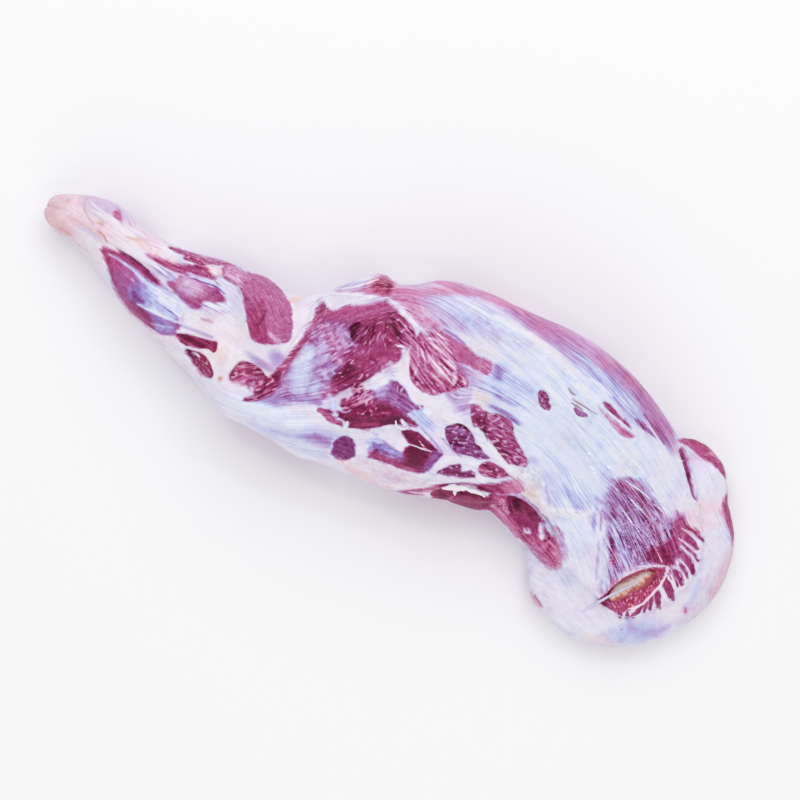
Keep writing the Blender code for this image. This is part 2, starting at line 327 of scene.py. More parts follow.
# The way that the fibres run
fibres = {
    "cell": 2.0,           # mm
    "span": (290, 190),    # mm, half the length and width of the sheet that the directions are drawn on
    "blend": 7.0,          # mm, how far one direction runs into the next
    "rounds": 16,          # how often the steepness is worked out again
    "steepness": (0.45, 2.2),      # how far the fibres may spread and crowd
    # x, y, degrees from +X
    "directions": [
        (-245, -10, 0), (-225, -2, 2), (-220, -18, -4), (-205, 5, 4), (-203, -5, -3), (-200, -14, -4),
        (-205, -25, -18), (-190, -28, -38), (-178, -38, -26), (-165, -44, -14), (-150, -46, -2),
        (-185, -18, -2), (-170, -22, -7), (-155, -30, -3), (-140, -34, 4), (-168, -36, 6), (-145, -42, 6),
        (-175, -8, 3), (-160, -5, 8), (-145, 0, 14), (-160, 5, 8), (-140, 10, 14), (-130, 4, -6),
        (-140, -14, 12), (-125, -12, 18), (-145, -20, -8), (-120, 10, -16), (-105, 12, -18), (-110, 3, -40),
        (-98, -5, -46), (-90, -14, -50), (-84, 2, -52), (-76, -10, 20), (-112, -18, 10), (-105, -30, 8),
        (-120, -40, 18), (-115, -52, -16), (-100, -62, -14), (-85, -66, 2), (-82, -46, 82), (-66, -42, 78),
        (-64, -10, 80), (-62, 10, 72), (-70, 12, 60), (-78, 22, 32), (-60, 34, 40), (-45, 48, 46),
        (-34, 50, 30), (-45, 22, 58), (-30, 36, 50), (-50, -6, 66), (-52, -28, 62), (-44, -42, 28),
        (-40, 5, 66), (-28, 16, 70), (-12, 28, -42), (-8, 12, 60), (-16, 2, 60), (-22, -14, 62),
        (-12, -20, 56), (4, -20, 42), (-4, -32, 40), (8, -6, 10), (-40, -60, 8), (-20, -58, 12),
        (-60, -66, 2), (-6, -54, -12), (14, -42, 10), (36, -32, 20), (34, -22, -14), (10, -58, 8),
        (45, -50, 36), (60, -42, 42), (85, -26, 28), (8, 29, -48), (5, 20, -64), (12, 14, -60),
        (16, 26, -40), (24, 25, -28), (22, 13, -45), (33, 20, -24), (30, 8, -50), (11, 37, -22),
        (24, 35, -14), (30, 40, -2), (45, 37, 0), (38, 27, -14), (16, 46, -4), (48, 10, 40), (60, 6, -50),
        (75, 6, -40), (92, -4, -30), (60, -10, 10), (66, -30, 40), (84, -18, 12), (-10, 62, 22), (5, 64, 8),
        (20, 72, 6), (35, 58, 2), (60, 60, 0), (60, 76, -2), (90, 78, -3), (90, 60, -6), (60, 40, -2),
        (70, 28, -2), (115, 74, -16), (130, 66, -20), (105, 48, -10), (100, 30, -8), (120, 20, -14),
        (140, 50, -12), (150, 74, -26), (165, 62, -32), (130, 34, -4), (155, 32, -5), (152, 20, -8),
        (153, 9, -20), (112, 4, -46), (120, -4, -56), (130, 0, -60), (124, 10, -50), (138, -10, -60),
        (150, -24, -62), (154, -4, -40), (165, -24, -63), (160, -40, -62), (176, -40, -64), (164, 18, -10),
        (180, 14, -12), (170, 4, -24), (178, -8, -36), (192, 6, -18), (192, -8, -28), (182, -20, -48),
        (194, -20, -40), (184, -36, -62), (205, 16, -34), (206, 5, -30), (206, -8, -36), (217, 12, -8),
        (217, 6, -14), (221, -5, -32), (221, -17, -36), (219, -27, -46), (216, -35, -56), (213, -43, -66),
        (209, -49, -84), (180, 56, -40), (195, 42, -44), (205, 32, -40), (196, 60, 4), (214, 54, -50),
        (226, 36, -56), (190, 30, -14), (215, 26, -20), (240, 0, -80), (235, -40, -60), (215, -65, -30),
        (180, -72, 0), (150, -65, 20), (130, -38, -18), (110, -34, -10), (145, -44, -12), (150, 90, -20),
        (0, 110, 0), (0, -110, 0), (-180, 60, 0), (-180, -90, -10), (100, -90, 0), (250, 80, -60),
        (250, -100, -30),
    ],
}


def fibreSheets(settings):
    # two smooth sheets, one rising along the fibres and one across; how steeply is left free, so that
    # fibres can run together as in a fan
    cell, (halfLength, halfWidth) = settings["cell"], settings["span"]
    x = np.arange(-halfLength, halfLength, cell)
    y = np.arange(-halfWidth, halfWidth, cell)
    gridX, gridY = np.meshgrid(x, y, indexing="ij")
    towards = np.zeros((2,) + gridX.shape)
    for placeX, placeY, degrees in settings["directions"]:
        gap = (gridX - placeX) ** 2 + (gridY - placeY) ** 2
        weight = 1 / (gap + settings["blend"] ** 2) ** 2.5
        towards[0] += weight * math.cos(math.radians(degrees))
        towards[1] += weight * math.sin(math.radians(degrees))
    towards /= np.hypot(*towards)
    bendX = 2 * np.cos(2 * math.pi * np.fft.fftfreq(2 * len(x))) - 2
    bendY = 2 * np.cos(2 * math.pi * np.fft.fftfreq(2 * len(y))) - 2
    bend = (bendX[:, None] + bendY[None]) / cell**2
    bend[0, 0] = 1
    sheets = []
    for slopeX, slopeY in ((towards[0], towards[1]), (-towards[1], towards[0])):
        steep = np.ones_like(gridX)
        for _ in range(settings["rounds"]):
            flow = np.zeros_like(gridX)
            alongX, alongY = slopeX * steep, slopeY * steep
            middleX = (alongX[1:] + alongX[:-1]) / 2 / cell
            middleY = (alongY[:, 1:] + alongY[:, :-1]) / 2 / cell
            flow[:-1] += middleX
            flow[1:] -= middleX
            flow[:, :-1] += middleY
            flow[:, 1:] -= middleY
            # mirrored, so that it meets itself at the borders as a wave has to
            waves = np.fft.fft2(np.block([[flow, flow[:, ::-1]], [flow[::-1], flow[::-1, ::-1]]]))
            waves[0, 0] = 0
            sheet = np.real(np.fft.ifft2(waves / bend))[:len(x), :len(y)]
            riseX, riseY = np.gradient(sheet, cell)
            steep = np.clip(riseX * slopeX + riseY * slopeY, *settings["steepness"])
        sheets.append(sheet)
    return sheets


def readSheet(sheet, places, settings):
    at = (places + settings["span"]) / settings["cell"]
    at = np.clip(at, 0, np.array(sheet.shape) - 1.001)
    i, j = at.astype(int).T
    s, t = (at - at.astype(int)).T
    return ((1 - s) * (1 - t) * sheet[i, j] + s * (1 - t) * sheet[i + 1, j]
            + (1 - s) * t * sheet[i, j + 1] + s * t * sheet[i + 1, j + 1])


# the steep sides are laid out flat round the top, the lower the further out
outward = normals[:, :2] / (np.hypot(*normals[:, :2].T)[:, None] + 1e-6)
laidOut = smoothStep((0.6 - np.abs(lean)) / 0.45) * np.clip(45 - points[:, 2], 0, None)      # mm
unrolled = plan + smoothed(outward * laidOut[:, None], edges, 12)
along, across = (readSheet(sheet, unrolled, fibres) for sheet in fibreSheets(fibres))
print("fibres laid")

# What the surface is at each point, as layers that the shader reads, and what they are to begin with
# veil: 0 white fat or thick silver skin, 0.5 thin skin that turns the muscle violet, 1 bare muscle
# pink: 0 blue and violet, 1 pink and red; warm: cream to peach; dark: shade in a cut
# streak: how strongly fibres show; the torn layer: how torn the surface is, for its relief, its painted
# glints and the painted shade in its pits; weave: white threads over it
# pale patches: torn skin left on it, and painted sheen on wet muscle; wet: how strongly it gleams
# in...: the same inside the bare windows; fray: mm over which a window's edge is torn
# edge, then the sinew and the crease layers: mm inside a window; inside the white sinews, a few of them
# painted glints; inside the lines of painted shade
# rise and lump: mm of relief and of crinkled fat, which move the surface itself
layerStart = {
    "edge": -9.0, "fray": 0.5, "inVeil": 0.85, "inPink": 0.8, "inStreak": 0.3, "crag": 0.0,
    "veil": 0.1, "pink": 0.35, "streak": 0.12, "warm": 0.0, "dark": 0.0, "threadAndGlint": -3.0, "creaseShade": -3.0,
    "weave": 0.0, "frost": 0.0, "wet": 1.0, "lump": 0.0, "rise": 0.0,
}
layers = {name: np.full(len(points), value) for name, value in layerStart.items()}

# Bare muscle where the silver skin is cut or torn away: its veil, pink, streak and fray, what more it
# changes, and its outline
bareMuscle = {
    "shankMiddleRed": (0.7, 0.9, 0.25, 1.2, {}, [(-178, -8.3), (-170, -6.3), (-163, -5.2), (-157, -3.6),
        (-148, 0.6), (-145, 2.7), (-139, 4), (-134, 1.8), (-130, 0.6), (-133, -1.6), (-140, -3.4),
        (-149, -7.2), (-158, -9.2), (-166, -9.8), (-173, -9.4)]),
    "shankTopRed": (0.72, 0.95, 0.35, 0.7, dict(crag=0.7), [(-167, 2), (-166, 5), (-158, 6), (-150, 7.6),
        (-135, 11.6), (-129, 13.5), (-132, 9.5), (-138, 6.6), (-140.5, 4.2), (-147, 2.5), (-154.5, 0.8),
        (-156, 3.4), (-160, 2.4)]),
    "shankBelly": (0.72, 0.9, 0.1, 1.2, dict(rise=0.8), [(-204, -18.5), (-197, -16.3), (-190, -15),
        (-181, -14.7), (-165, -17.5), (-158, -20), (-150, -22), (-142, -25.5), (-137, -30), (-134.5, -37),
        (-136, -44), (-141, -47.7), (-150, -48), (-160, -46.5), (-170, -44), (-180, -39.5), (-188, -34),
        (-200, -23)]),
    "shankPinkDome": (0.7, 0.85, 0.12, 1.2, dict(rise=1), [(-157, -17), (-153, -13.5), (-150.5, -8.6),
        (-146, -8), (-132, -5), (-126, -4.6), (-121, -6.5), (-116.5, -9.4), (-121, -12), (-129, -16),
        (-131, -18.5), (-129, -21), (-133, -24.3), (-140, -23.5), (-152, -19.8)]),
    "elbowMuscle": (0.69, 0.85, 0.14, 0.7, dict(rise=1.2, crag=0.12), [(-130, 13), (-120, 13), (-113, 14.5),
        (-108, 16.2), (-100, 17), (-92, 15.5), (-85, 12), (-80, 9), (-75, 2), (-71, -6), (-70, -12),
        (-76, -17), (-84, -21), (-90, -22), (-96, -18), (-102, -10), (-108, -3), (-115, 3), (-125, 2.5),
        (-130, 7)]),
    "smallCutUpper": (0.84, 1, 0.25, 0.4, dict(rise=-1.2), [(-135, -43.2), (-130, -40), (-116, -36),
        (-110, -34.3), (-109, -35.5), (-107.7, -38.5), (-108.5, -41.5), (-113, -41.5), (-117, -43.3),
        (-124, -45.5), (-129, -46.6), (-132, -45.5)]),
    "smallCutLower": (0.84, 1, 0.3, 0.5, dict(rise=-1, crag=0.7), [(-125, -49), (-119, -46.3),
        (-114, -45.8), (-109, -47.3), (-104.5, -50.5), (-101.5, -54), (-102.5, -57), (-108, -57.3),
        (-116, -54)]),
    "elbowCut": (0.77, 1, 0.35, 0.8, dict(rise=-1.5, crag=0.9), [(-92, -50), (-91.5, -41), (-90, -37),
        (-84, -34.8), (-76, -35.5), (-71, -38), (-68, -31), (-64, -31), (-61, -38), (-61.5, -45),
        (-66, -51), (-72, -56), (-77, -58), (-75, -51), (-80, -49.5), (-86, -51.5)]),
    "armLower": (0.5, 0.4, 0.25, 2.5, dict(crag=0.3), [(-63, 14), (-56, 18), (-44, 16), (-30, 4), (-26, -8),
        (-26, -20), (-31, -31), (-42, -40), (-56, -46), (-64, -36), (-64, -10)]),
    "redStrip": (0.73, 1, 0.25, 0.6, dict(rise=-0.4, crag=0.8), [(-66, 20), (-60, 20), (-58, 8),
        (-59.5, -8), (-62.5, -22), (-64, -31), (-68, -31), (-66, -18), (-64, 0), (-64, 8)]),
    "armRed": (0.77, 0.95, 0.2, 1, dict(rise=0.4, crag=0.35), [(-66, 16), (-62, 20), (-55, 20), (-50, 27),
        (-40, 33), (-30, 42), (-26, 43), (-20, 41), (-10, 38), (-3, 34.5), (0, 29), (-2, 24), (-5, 21),
        (-3, 16), (-4, 11), (-10, 2), (-16, -10), (-22, -17), (-28, -26), (-32, -31), (-34, -24),
        (-31, -12), (-31, -6), (-38, 0), (-50, 10), (-58, 14)]),
    "armLump": (0.58, 1, 0.25, 1.6, dict(rise=0.8, crag=0.4), [(-60, 31), (-50, 40), (-44, 50), (-38, 56),
        (-30, 54.5), (-27, 50), (-30, 45), (-40, 41)]),
    "stripAbove": (0.63, 0.95, 0.12, 0.8, {}, [(7, 42.3), (15, 43.5), (28, 43), (39, 41), (43, 42),
        (50.5, 41.5), (50.5, 34), (42, 33), (33, 32.3), (28, 31), (22, 34), (12, 38)]),
    "stripedMuscle": (0.7, 0.95, 0.5, 0.6, dict(rise=0.6, crag=0.25, weave=0.3), [(0, 37.5), (5, 39.5),
        (12, 41), (20, 37.5), (26, 33), (31, 28), (37, 25.5), (41, 25), (43.5, 20.5), (39, 17), (37.5, 13),
        (33, 11), (28, 6), (22, 4), (14, 5), (8, 8.5), (4, 14), (0, 20), (-3, 26), (-1, 32)]),
    "darkMuscle": (0.98, 0.85, 0.12, 0.6, dict(rise=0.8), [(0, 0.5), (2, 1.5), (10, 0), (13, -2.5),
        (18, -5), (22, -4.8), (25, -3), (24.5, -7), (20.5, -8.5), (19.3, -11), (18, -13.5), (21, -14.2),
        (29, -16.2), (24, -18.2), (20, -18.5), (19, -20), (17, -22.3), (13, -24.5), (8, -28), (4, -32),
        (0, -35), (-6, -38), (-10, -40), (-12, -37), (-25, -38), (-32, -40), (-26, -36), (-18, -33),
        (-14, -29), (-18, -24), (-14, -16), (-10, -12), (-5, -10), (-3, -4)]),
    "lowMuscle": (0.97, 0.95, 0.12, 0.7, dict(rise=0.6), [(21, -24.5), (23, -22.5), (28, -20.5),
        (34, -20.5), (48, -23.8), (51.3, -24.3), (50, -30), (48.5, -37), (46, -41.5), (38, -44.5),
        (28, -46.5), (11, -48.5), (9, -45), (6, -41), (6, -37), (12, -35.5), (20, -36.5), (28, -36),
        (28, -32), (30, -29.8), (26, -28)]),
    "lowSpot": (0.82, 0.35, 0.1, 0.8, {}, [(-10, -46), (-5, -44.5), (0, -48), (3, -54), (-1, -59),
        (-7, -61), (-12, -58), (-13, -52)]),
    "ledgeBand": (0.83, 1, 0.15, 1.4, {}, [(36, -61), (40, -57.5), (46, -53), (60, -41.5), (70, -34.8),
        (80, -29.3), (90, -23), (96, -18), (100, -14.5), (106, -17), (106, -22), (101, -26), (88, -31.5),
        (78, -33), (72, -35.5), (64, -40), (60, -45), (50, -53.5), (42, -58.5)]),
    "twinWindowLarge": (0.76, 0.85, 0.3, 0.3, dict(rise=-0.6, crag=1), [(51, 12), (55, 14), (62, 13),
        (70, 16), (78, 16), (82, 13), (84, 9), (92, 4), (100, -1), (101, -5), (97, -6), (94, -9), (88, -8),
        (80, -5), (72, -3), (67, 1), (60, 1), (55, 5)]),
    "twinWindowSmall": (0.8, 0.55, 0.3, 0.3, dict(rise=-1.5, crag=0.6), [(44.5, -9), (46, -5), (50, -2.5),
        (55, -2), (60, -3.5), (64, -6), (65, -8), (70, -8.5), (73, -10.5), (78.5, -11.5), (74, -14.7),
        (64, -17), (60, -19), (54, -17.5), (48, -14)]),
    "bladeWindow": (0.84, 0.95, 0.4, 0.6, dict(crag=0.5), [(75, -19), (78, -14), (85, -13), (97, -13),
        (90, -19), (85, -22), (78, -23)]),
    "mauveWindow": (0.86, 0.6, 0.25, 0.7, dict(crag=0.3), [(54, -36), (58, -29), (64, -24), (67, -28),
        (72, -24), (76, -26), (70, -31), (62, -34)]),
    "smallHole": (0.86, 0.7, 0.25, 0.2, dict(rise=-1, crag=0.3), [(84, 42), (89, 43), (93, 39.5),
        (92.5, 38), (96, 37.5), (95.5, 33), (90, 33.5), (86, 37.5)]),
    "halfMoonHole": (0.78, 0.6, 0.25, 0.2, dict(rise=-0.6), [(109, 44), (119, 44), (117, 41), (112, 40.5)]),
    "hangingMuscle": (0.74, 1, 0.25, 1.4, dict(crag=0.12), [(89, -31.5), (96, -28), (101, -25),
        (108, -22.5), (120, -25), (126, -27), (134, -28.5), (140, -28.3), (146, -33), (151, -39),
        (153, -45), (149, -52), (140, -52), (128, -48), (120, -47), (100, -42.5), (91, -40.5)]),
    "hangingCut": (0.84, 1, 0.06, 0.3, dict(rise=-1.6), [(101, -26.5), (104.5, -31), (109, -35),
        (115, -38.3), (121, -39.3), (125, -38), (126.2, -34), (125.3, -30), (122, -27.5), (116, -26),
        (108, -25), (103, -25)]),
    "lowerLobe": (0.85, 1, 0.08, 0.5, dict(rise=0.5), [(60, -44), (66, -42), (76, -36.5), (84, -34),
        (91, -33), (94, -38.5), (90, -43), (85, -48.5), (78, -52), (68, -52.5), (57, -50.5)]),
    "endComb": (0.76, 0.38, 0.6, 3, dict(weave=0.9), [(157, 19), (163, 22), (172, 22.5), (178, 19),
        (186, 17), (193, 14), (199, 13), (201, 15), (204, 20), (208, 17), (210, 13), (211, 6), (215.5, -5),
        (215, -11), (212, -15.5), (205, -18), (198, -22), (192, -28), (188, -36), (186, -44), (184, -52),
        (181, -48), (178, -40), (173, -30), (168, -18), (161, -6), (156, 2), (154, 10)]),
    "combOval": (0.97, 0.95, 0.2, 0.5, dict(weave=0.25), [(197, -9), (201, -5), (205, 1), (209, 2),
        (212, 0), (214.5, -4), (215.5, -9), (213, -14), (209, -16), (203, -16.5), (198, -15)]),
    "bladeCrease": (0.86, 0.75, 0.4, 0.9, dict(rise=-0.6), [(181, 56), (185, 53.5), (197, 41.5), (203, 35),
        (207.5, 31), (203, 32), (197, 38), (184, 50.5), (180.5, 53.5)]),
    "flapRim": (0.7, 1, 0.15, 1.2, {}, [(177, 58.5), (181, 64), (187, 70), (198, 72), (208, 70), (217, 63),
        (224, 51), (215, 53), (205, 56), (195, 57), (185, 58.5)]),
    "rimRed": (0.68, 1, 0.3, 2.4, {}, [(221, 45), (229, 45), (236, 39), (243, 31), (249, 20), (242, 17),
        (234, 25), (228, 30), (222, 36)]),
    "fasciaSlitRed": (0.77, 0.9, 0.25, 0.6, dict(rise=-0.6), [(123, 56), (129, 57), (136, 54.5), (143, 53),
        (148, 50), (138, 51), (128, 53)]),
    "fasciaSlitPink": (0.52, 1, 0.3, 0.9, dict(rise=-0.3), [(122, 52), (130, 50), (140, 48.5), (149, 48),
        (152, 45.5), (146, 43), (140, 44), (126, 49.5)]),
    "fasciaSlitViolet": (0.76, 0.5, 0.3, 0.7, dict(rise=-0.3), [(146, 57), (152, 57), (158, 55), (164, 53),
        (152, 54)]),
    "knifeSlit": (0.72, 1, 0.1, 0.3, dict(crag=0.7), knifeSlit["outline"]),
    "skinOval": (0.6, 1, 0.1, 0.8, {}, [(-208.5, 4.5), (-206.5, 7.5), (-203.5, 6), (-202, 2.5), (-204, 2),
        (-207, 2.5)]),
}


def onMuscle(veil, pink=None, /, **more):
    # a change of colour where muscle is bare
    return {"inVeil": veil, **({} if pink is None else {"inPink": pink}), **more}


def onSkin(veil, pink=None, /, **more):
    # the same where skin or fat covers it
    return {"veil": veil, **({} if pink is None else {"pink": pink}), **more}


# Soft ovals of colour, laid one over the other: what changes, then x, y, length, width, degrees of turn
washes = [
    # shank, from the knuckle on
    (onSkin(0.2, 1, warm=0.36, streak=0.1, lump=0.45), -240, -9, 46, 50, 0),
    (onSkin(0.26, warm=0.62), -238, -16, 18, 12, 20),
    (onSkin(0.12, 0.9, warm=0.26, lump=0.2), -214, -10, 44, 34, 0),
    (onSkin(0.27, 0.6, warm=0, streak=0.03), -213, 5, 34, 13, 2),
    (dict(warm=0.75), -232, -20, 13, 5, -8),
    (dict(warm=0.7, dark=0.12), -238, -4, 4, 3, 60),
    (dict(warm=0.85, dark=0.08), -212, -6, 5, 3, 10),
    (onSkin(0.2, warm=0.45), -222, -12.5, 30, 4, -3),
    (onSkin(0.3, 0, warm=0), -214, -14.8, 18, 2.6, -2),
    (onSkin(0.08, 0.6, warm=0.2, streak=0.05), -208, -23, 24, 15, -16),
    (onSkin(0.08, 0.9, warm=0.3), -176, -4.5, 44, 5, 2),
    (onSkin(0.15, warm=0.75), -184, -2.2, 12, 4, -4),
    (onSkin(0.42, 0), -160, -12.6, 18, 4, -3),
    (onMuscle(0.66, 0.7), -178, -31, 22, 18, -20),
    (onMuscle(0.6, 0.05), -166, -33, 20, 15, -12),
    (onMuscle(0.32, 0, inStreak=0.3), -150, -31, 28, 16, -4),
    (onMuscle(0.14, 0, inStreak=0.2), -146, -27, 30, 9, -8),
    (onMuscle(0.56, 0.08), -147, -42.5, 24, 9, 4),
    (onMuscle(0.84, 0.85), -161, -42.5, 18, 6, -14),
    (onMuscle(0.36, 0.68), -142, -12.5, 19, 11, 12),
    (onSkin(0.26, 0.3, streak=0.6), -122, -16, 18, 10, 20),
    (onSkin(0.12, 0.9, warm=0.5), -134, 4.5, 12, 5, 14),
    # elbow
    (onSkin(0.04, 0.6, warm=0.12, streak=0.05), -102, -34, 84, 34, 8),
    (dict(warm=0.45), -104, -40, 12, 10, 0),
    (onMuscle(0.62, inStreak=0.1), -84, 0, 26, 22, -50),
    (onMuscle(0.6, 0.85), -98, 9, 30, 12, -10),
    (onMuscle(0.74, 1), -92, -13, 26, 10, -50),
    (onMuscle(0.52, inStreak=0.4, crag=0.7, frost=0.35), -121, 8, 16, 10, 10),
    (onSkin(0.04, 0.5, streak=0.04), -73, 6, 16, 30, 62),
    (onSkin(0.12, warm=0.6), -80, 14, 10, 4, 40),
    (onSkin(0.45, 0.25), -78, -32, 22, 5, -4),
    (onSkin(0.4, 0.1), -69, -25, 10, 16, 80),
    (onSkin(0.5, 0.3), -66, -54, 26, 8, 30),
    (onSkin(0.2, 1, warm=0.8), -96.3, -53.5, 4, 4, 0),
    (onSkin(0.8, 1, warm=0.5), -96.3, -53.5, 1.6, 1.6, 0),
    # arm
    (onMuscle(0.66, 0.95, inStreak=0.12, crag=0.05), -42, 30, 40, 16, 40),
    (onMuscle(0.84, crag=0.7), -28, 17, 16, 14, 60),
    (onMuscle(0.9, dark=0.1, crag=0.7), -22, -14, 20, 20, 60),
    (onMuscle(0.7, 1, inStreak=0.1, crag=0), -12, 12, 18, 12, 40),
    (onMuscle(0.74, inStreak=0.12, crag=0.1), -20, 3, 16, 12, 10),
    (onMuscle(0.66, inStreak=0.7, crag=0.4), -9, 33, 24, 10, -36),
    (onMuscle(0.75, inStreak=0.7, crag=0.8), -12, -20, 16, 18, 50),
    (onMuscle(0.76, 1, warm=0.25, crag=0.6), -35, 50, 15, 10, 20),
    (onMuscle(0.4, 0.5, veil=0.36), -53, 38, 18, 7, 42),
    (onMuscle(0.66, 0.5, frost=0.55), -46, 6, 30, 20, 20),
    (onSkin(0.2, 0.3, streak=0.4), -5, 0, 16, 14, 60),
    # middle
    (onSkin(0.46, 1, streak=0.4), -12, 58, 54, 18, 42),
    (onSkin(0.46, 0.95, streak=0.4, crag=0.2, frost=0.35), -8, 46, 36, 12, -6),
    (onSkin(0.2, 0.6, streak=0.5, frost=0.6), 2, 47, 14, 8, 0),
    (onSkin(0.26, 0.15, streak=0.3, weave=0.6), 24, 62, 84, 18, 3),
    (onSkin(0.36, 0.2, streak=0.2), 32, 58, 44, 8, 3),
    (onSkin(0.4, 0.5, streak=0.4), 10, 52, 30, 7, 0),
    (onSkin(0.08, 0), 30, 67, 66, 3, 0),
    (onMuscle(0.62, frost=0.3, weave=0.7), 46, 37.5, 9, 9, 0),
    (onSkin(0.52, 0.62, streak=0.4), 42, 26, 30, 9, -16),
    (onSkin(0.34, 0.4, streak=0.3), 42, 11, 24, 22, 40),
    (onSkin(0.1, warm=0.4), 56, 18, 10, 10, 0),
    (onMuscle(0.66, 0.42, inStreak=0.25), 9, -7, 34, 16, -14),
    (onMuscle(0.82, 0.5, crag=0.5), 6, -1.5, 12, 4, -6),
    (onMuscle(0.5, 0.3, fray=2.5), -3, -8, 9, 14, 0),
    (onSkin(0.04, 0.4, streak=0.05), 34, 0, 40, 12, -6),
    (onSkin(0.26, 0, streak=0.2), 27, -11, 22, 9, -14),
    (onMuscle(0.56, 0.05, inStreak=0.3), 16, -40, 26, 9, 4),
    (onMuscle(0.3, 0), 9, -39, 14, 8, 0),
    (dict(fray=3), 8, -41, 12, 16, 0),
    (onMuscle(0.74, 0.3), 47.5, -30, 7, 20, -12),
    (onSkin(0.38, 0.15, streak=0.2), -24, -55, 36, 12, 14),
    (onSkin(0.2, 0.1, streak=0.2), -40, -66, 60, 6, 4),
    (onSkin(0.08, 0, streak=0.15), -60, -58, 60, 10, 12),
    (onSkin(0.18, 1, warm=0.5), 14, -60, 26, 6, 10),
    (onSkin(0.1, 0.8, warm=0.1, crag=0.2), 28, -53, 60, 10, 12),
    # under the ledge
    (onSkin(0.12, warm=0.55), 109, -16, 22, 8, -20),
    (onMuscle(0.5, 1, warm=0.1, fray=3), 101, -18, 16, 9, 50),
    (onMuscle(0.5, inStreak=0.4, fray=3.5), 145, -44, 20, 16, -40),
    # fan of silver skin
    (onSkin(0.11, 0, streak=0.22, weave=0.5), 110, 30, 120, 60, -8),
    (onSkin(0.28, 0.05, streak=0.4, weave=0.5), 132, 0, 52, 26, -54),
    (onSkin(0.26, 0.05, streak=0.4), 152, 8, 30, 10, -62),
    (onSkin(0.1, streak=0.06), 124, 14, 60, 12, -16),
    (onSkin(0.4, 0.1), 57, 39.5, 11, 11, 0),
    (onSkin(0.32, 0.05, streak=0.3), 70, 39, 24, 7, 0),
    (onSkin(0.28, 0.05, streak=0.4), 66, 27, 28, 7, 0),
    (onSkin(0.45, 0.2), 72, 18, 24, 4, 2),
    (onSkin(0.3, 0.05), 103, 0, 6, 8, -40),
    (onSkin(0.1, 0.1, streak=0.2, weave=0.5), 150, -28, 30, 20, -50),
    # ridge
    (onSkin(0.46, 0.66, streak=0.2), 85, 78, 100, 18, -2),
    (onSkin(0.5, 0.56, streak=0.5), 140, 73, 60, 14, -26),
    (onSkin(0.56, 0.6, streak=0.4), 164, 61, 34, 8, -32),
    (onSkin(0.38, 0.2, streak=0.4), 112, 70, 52, 10, -12),
    (onSkin(0.32, 0.15, streak=0.5), 136, 62, 44, 8, -20),
    (onSkin(0.45, 0), 100, 66, 26, 2, -14),
    (onSkin(0.05, warm=0.1, streak=0.05), 78, 67, 60, 5, -8),
    # blade
    (onSkin(0.07, 0.5, streak=0.04), 225, -40, 64, 80, 0),
    (onSkin(0.26, 0.2), 214, -62, 42, 14, 42),
    (onSkin(0.18, 0.6), 240, -20, 11, 40, 0),
    (onSkin(0.22, 1, warm=0.15), 246, 0, 8, 60, 8),
    (onSkin(0.1, 1, warm=0.1), 215, 24, 26, 16, 60),
    (onSkin(0.26, 1), 235, -33, 5, 4, 60),
    (dict(warm=0.4), 198, -78, 34, 5, 6),
]

tooth = onMuscle(0.78, 1, edge=2.2, inStreak=0.15, fray=0.4, rise=-0.3)
whiteStreak = onMuscle(0.2, inStreak=0.6, rise=0.3)
# darkest bare muscle, with a little painted shade along the line
darkLine = onMuscle(1, 1, dark=0.12, inStreak=0.2)

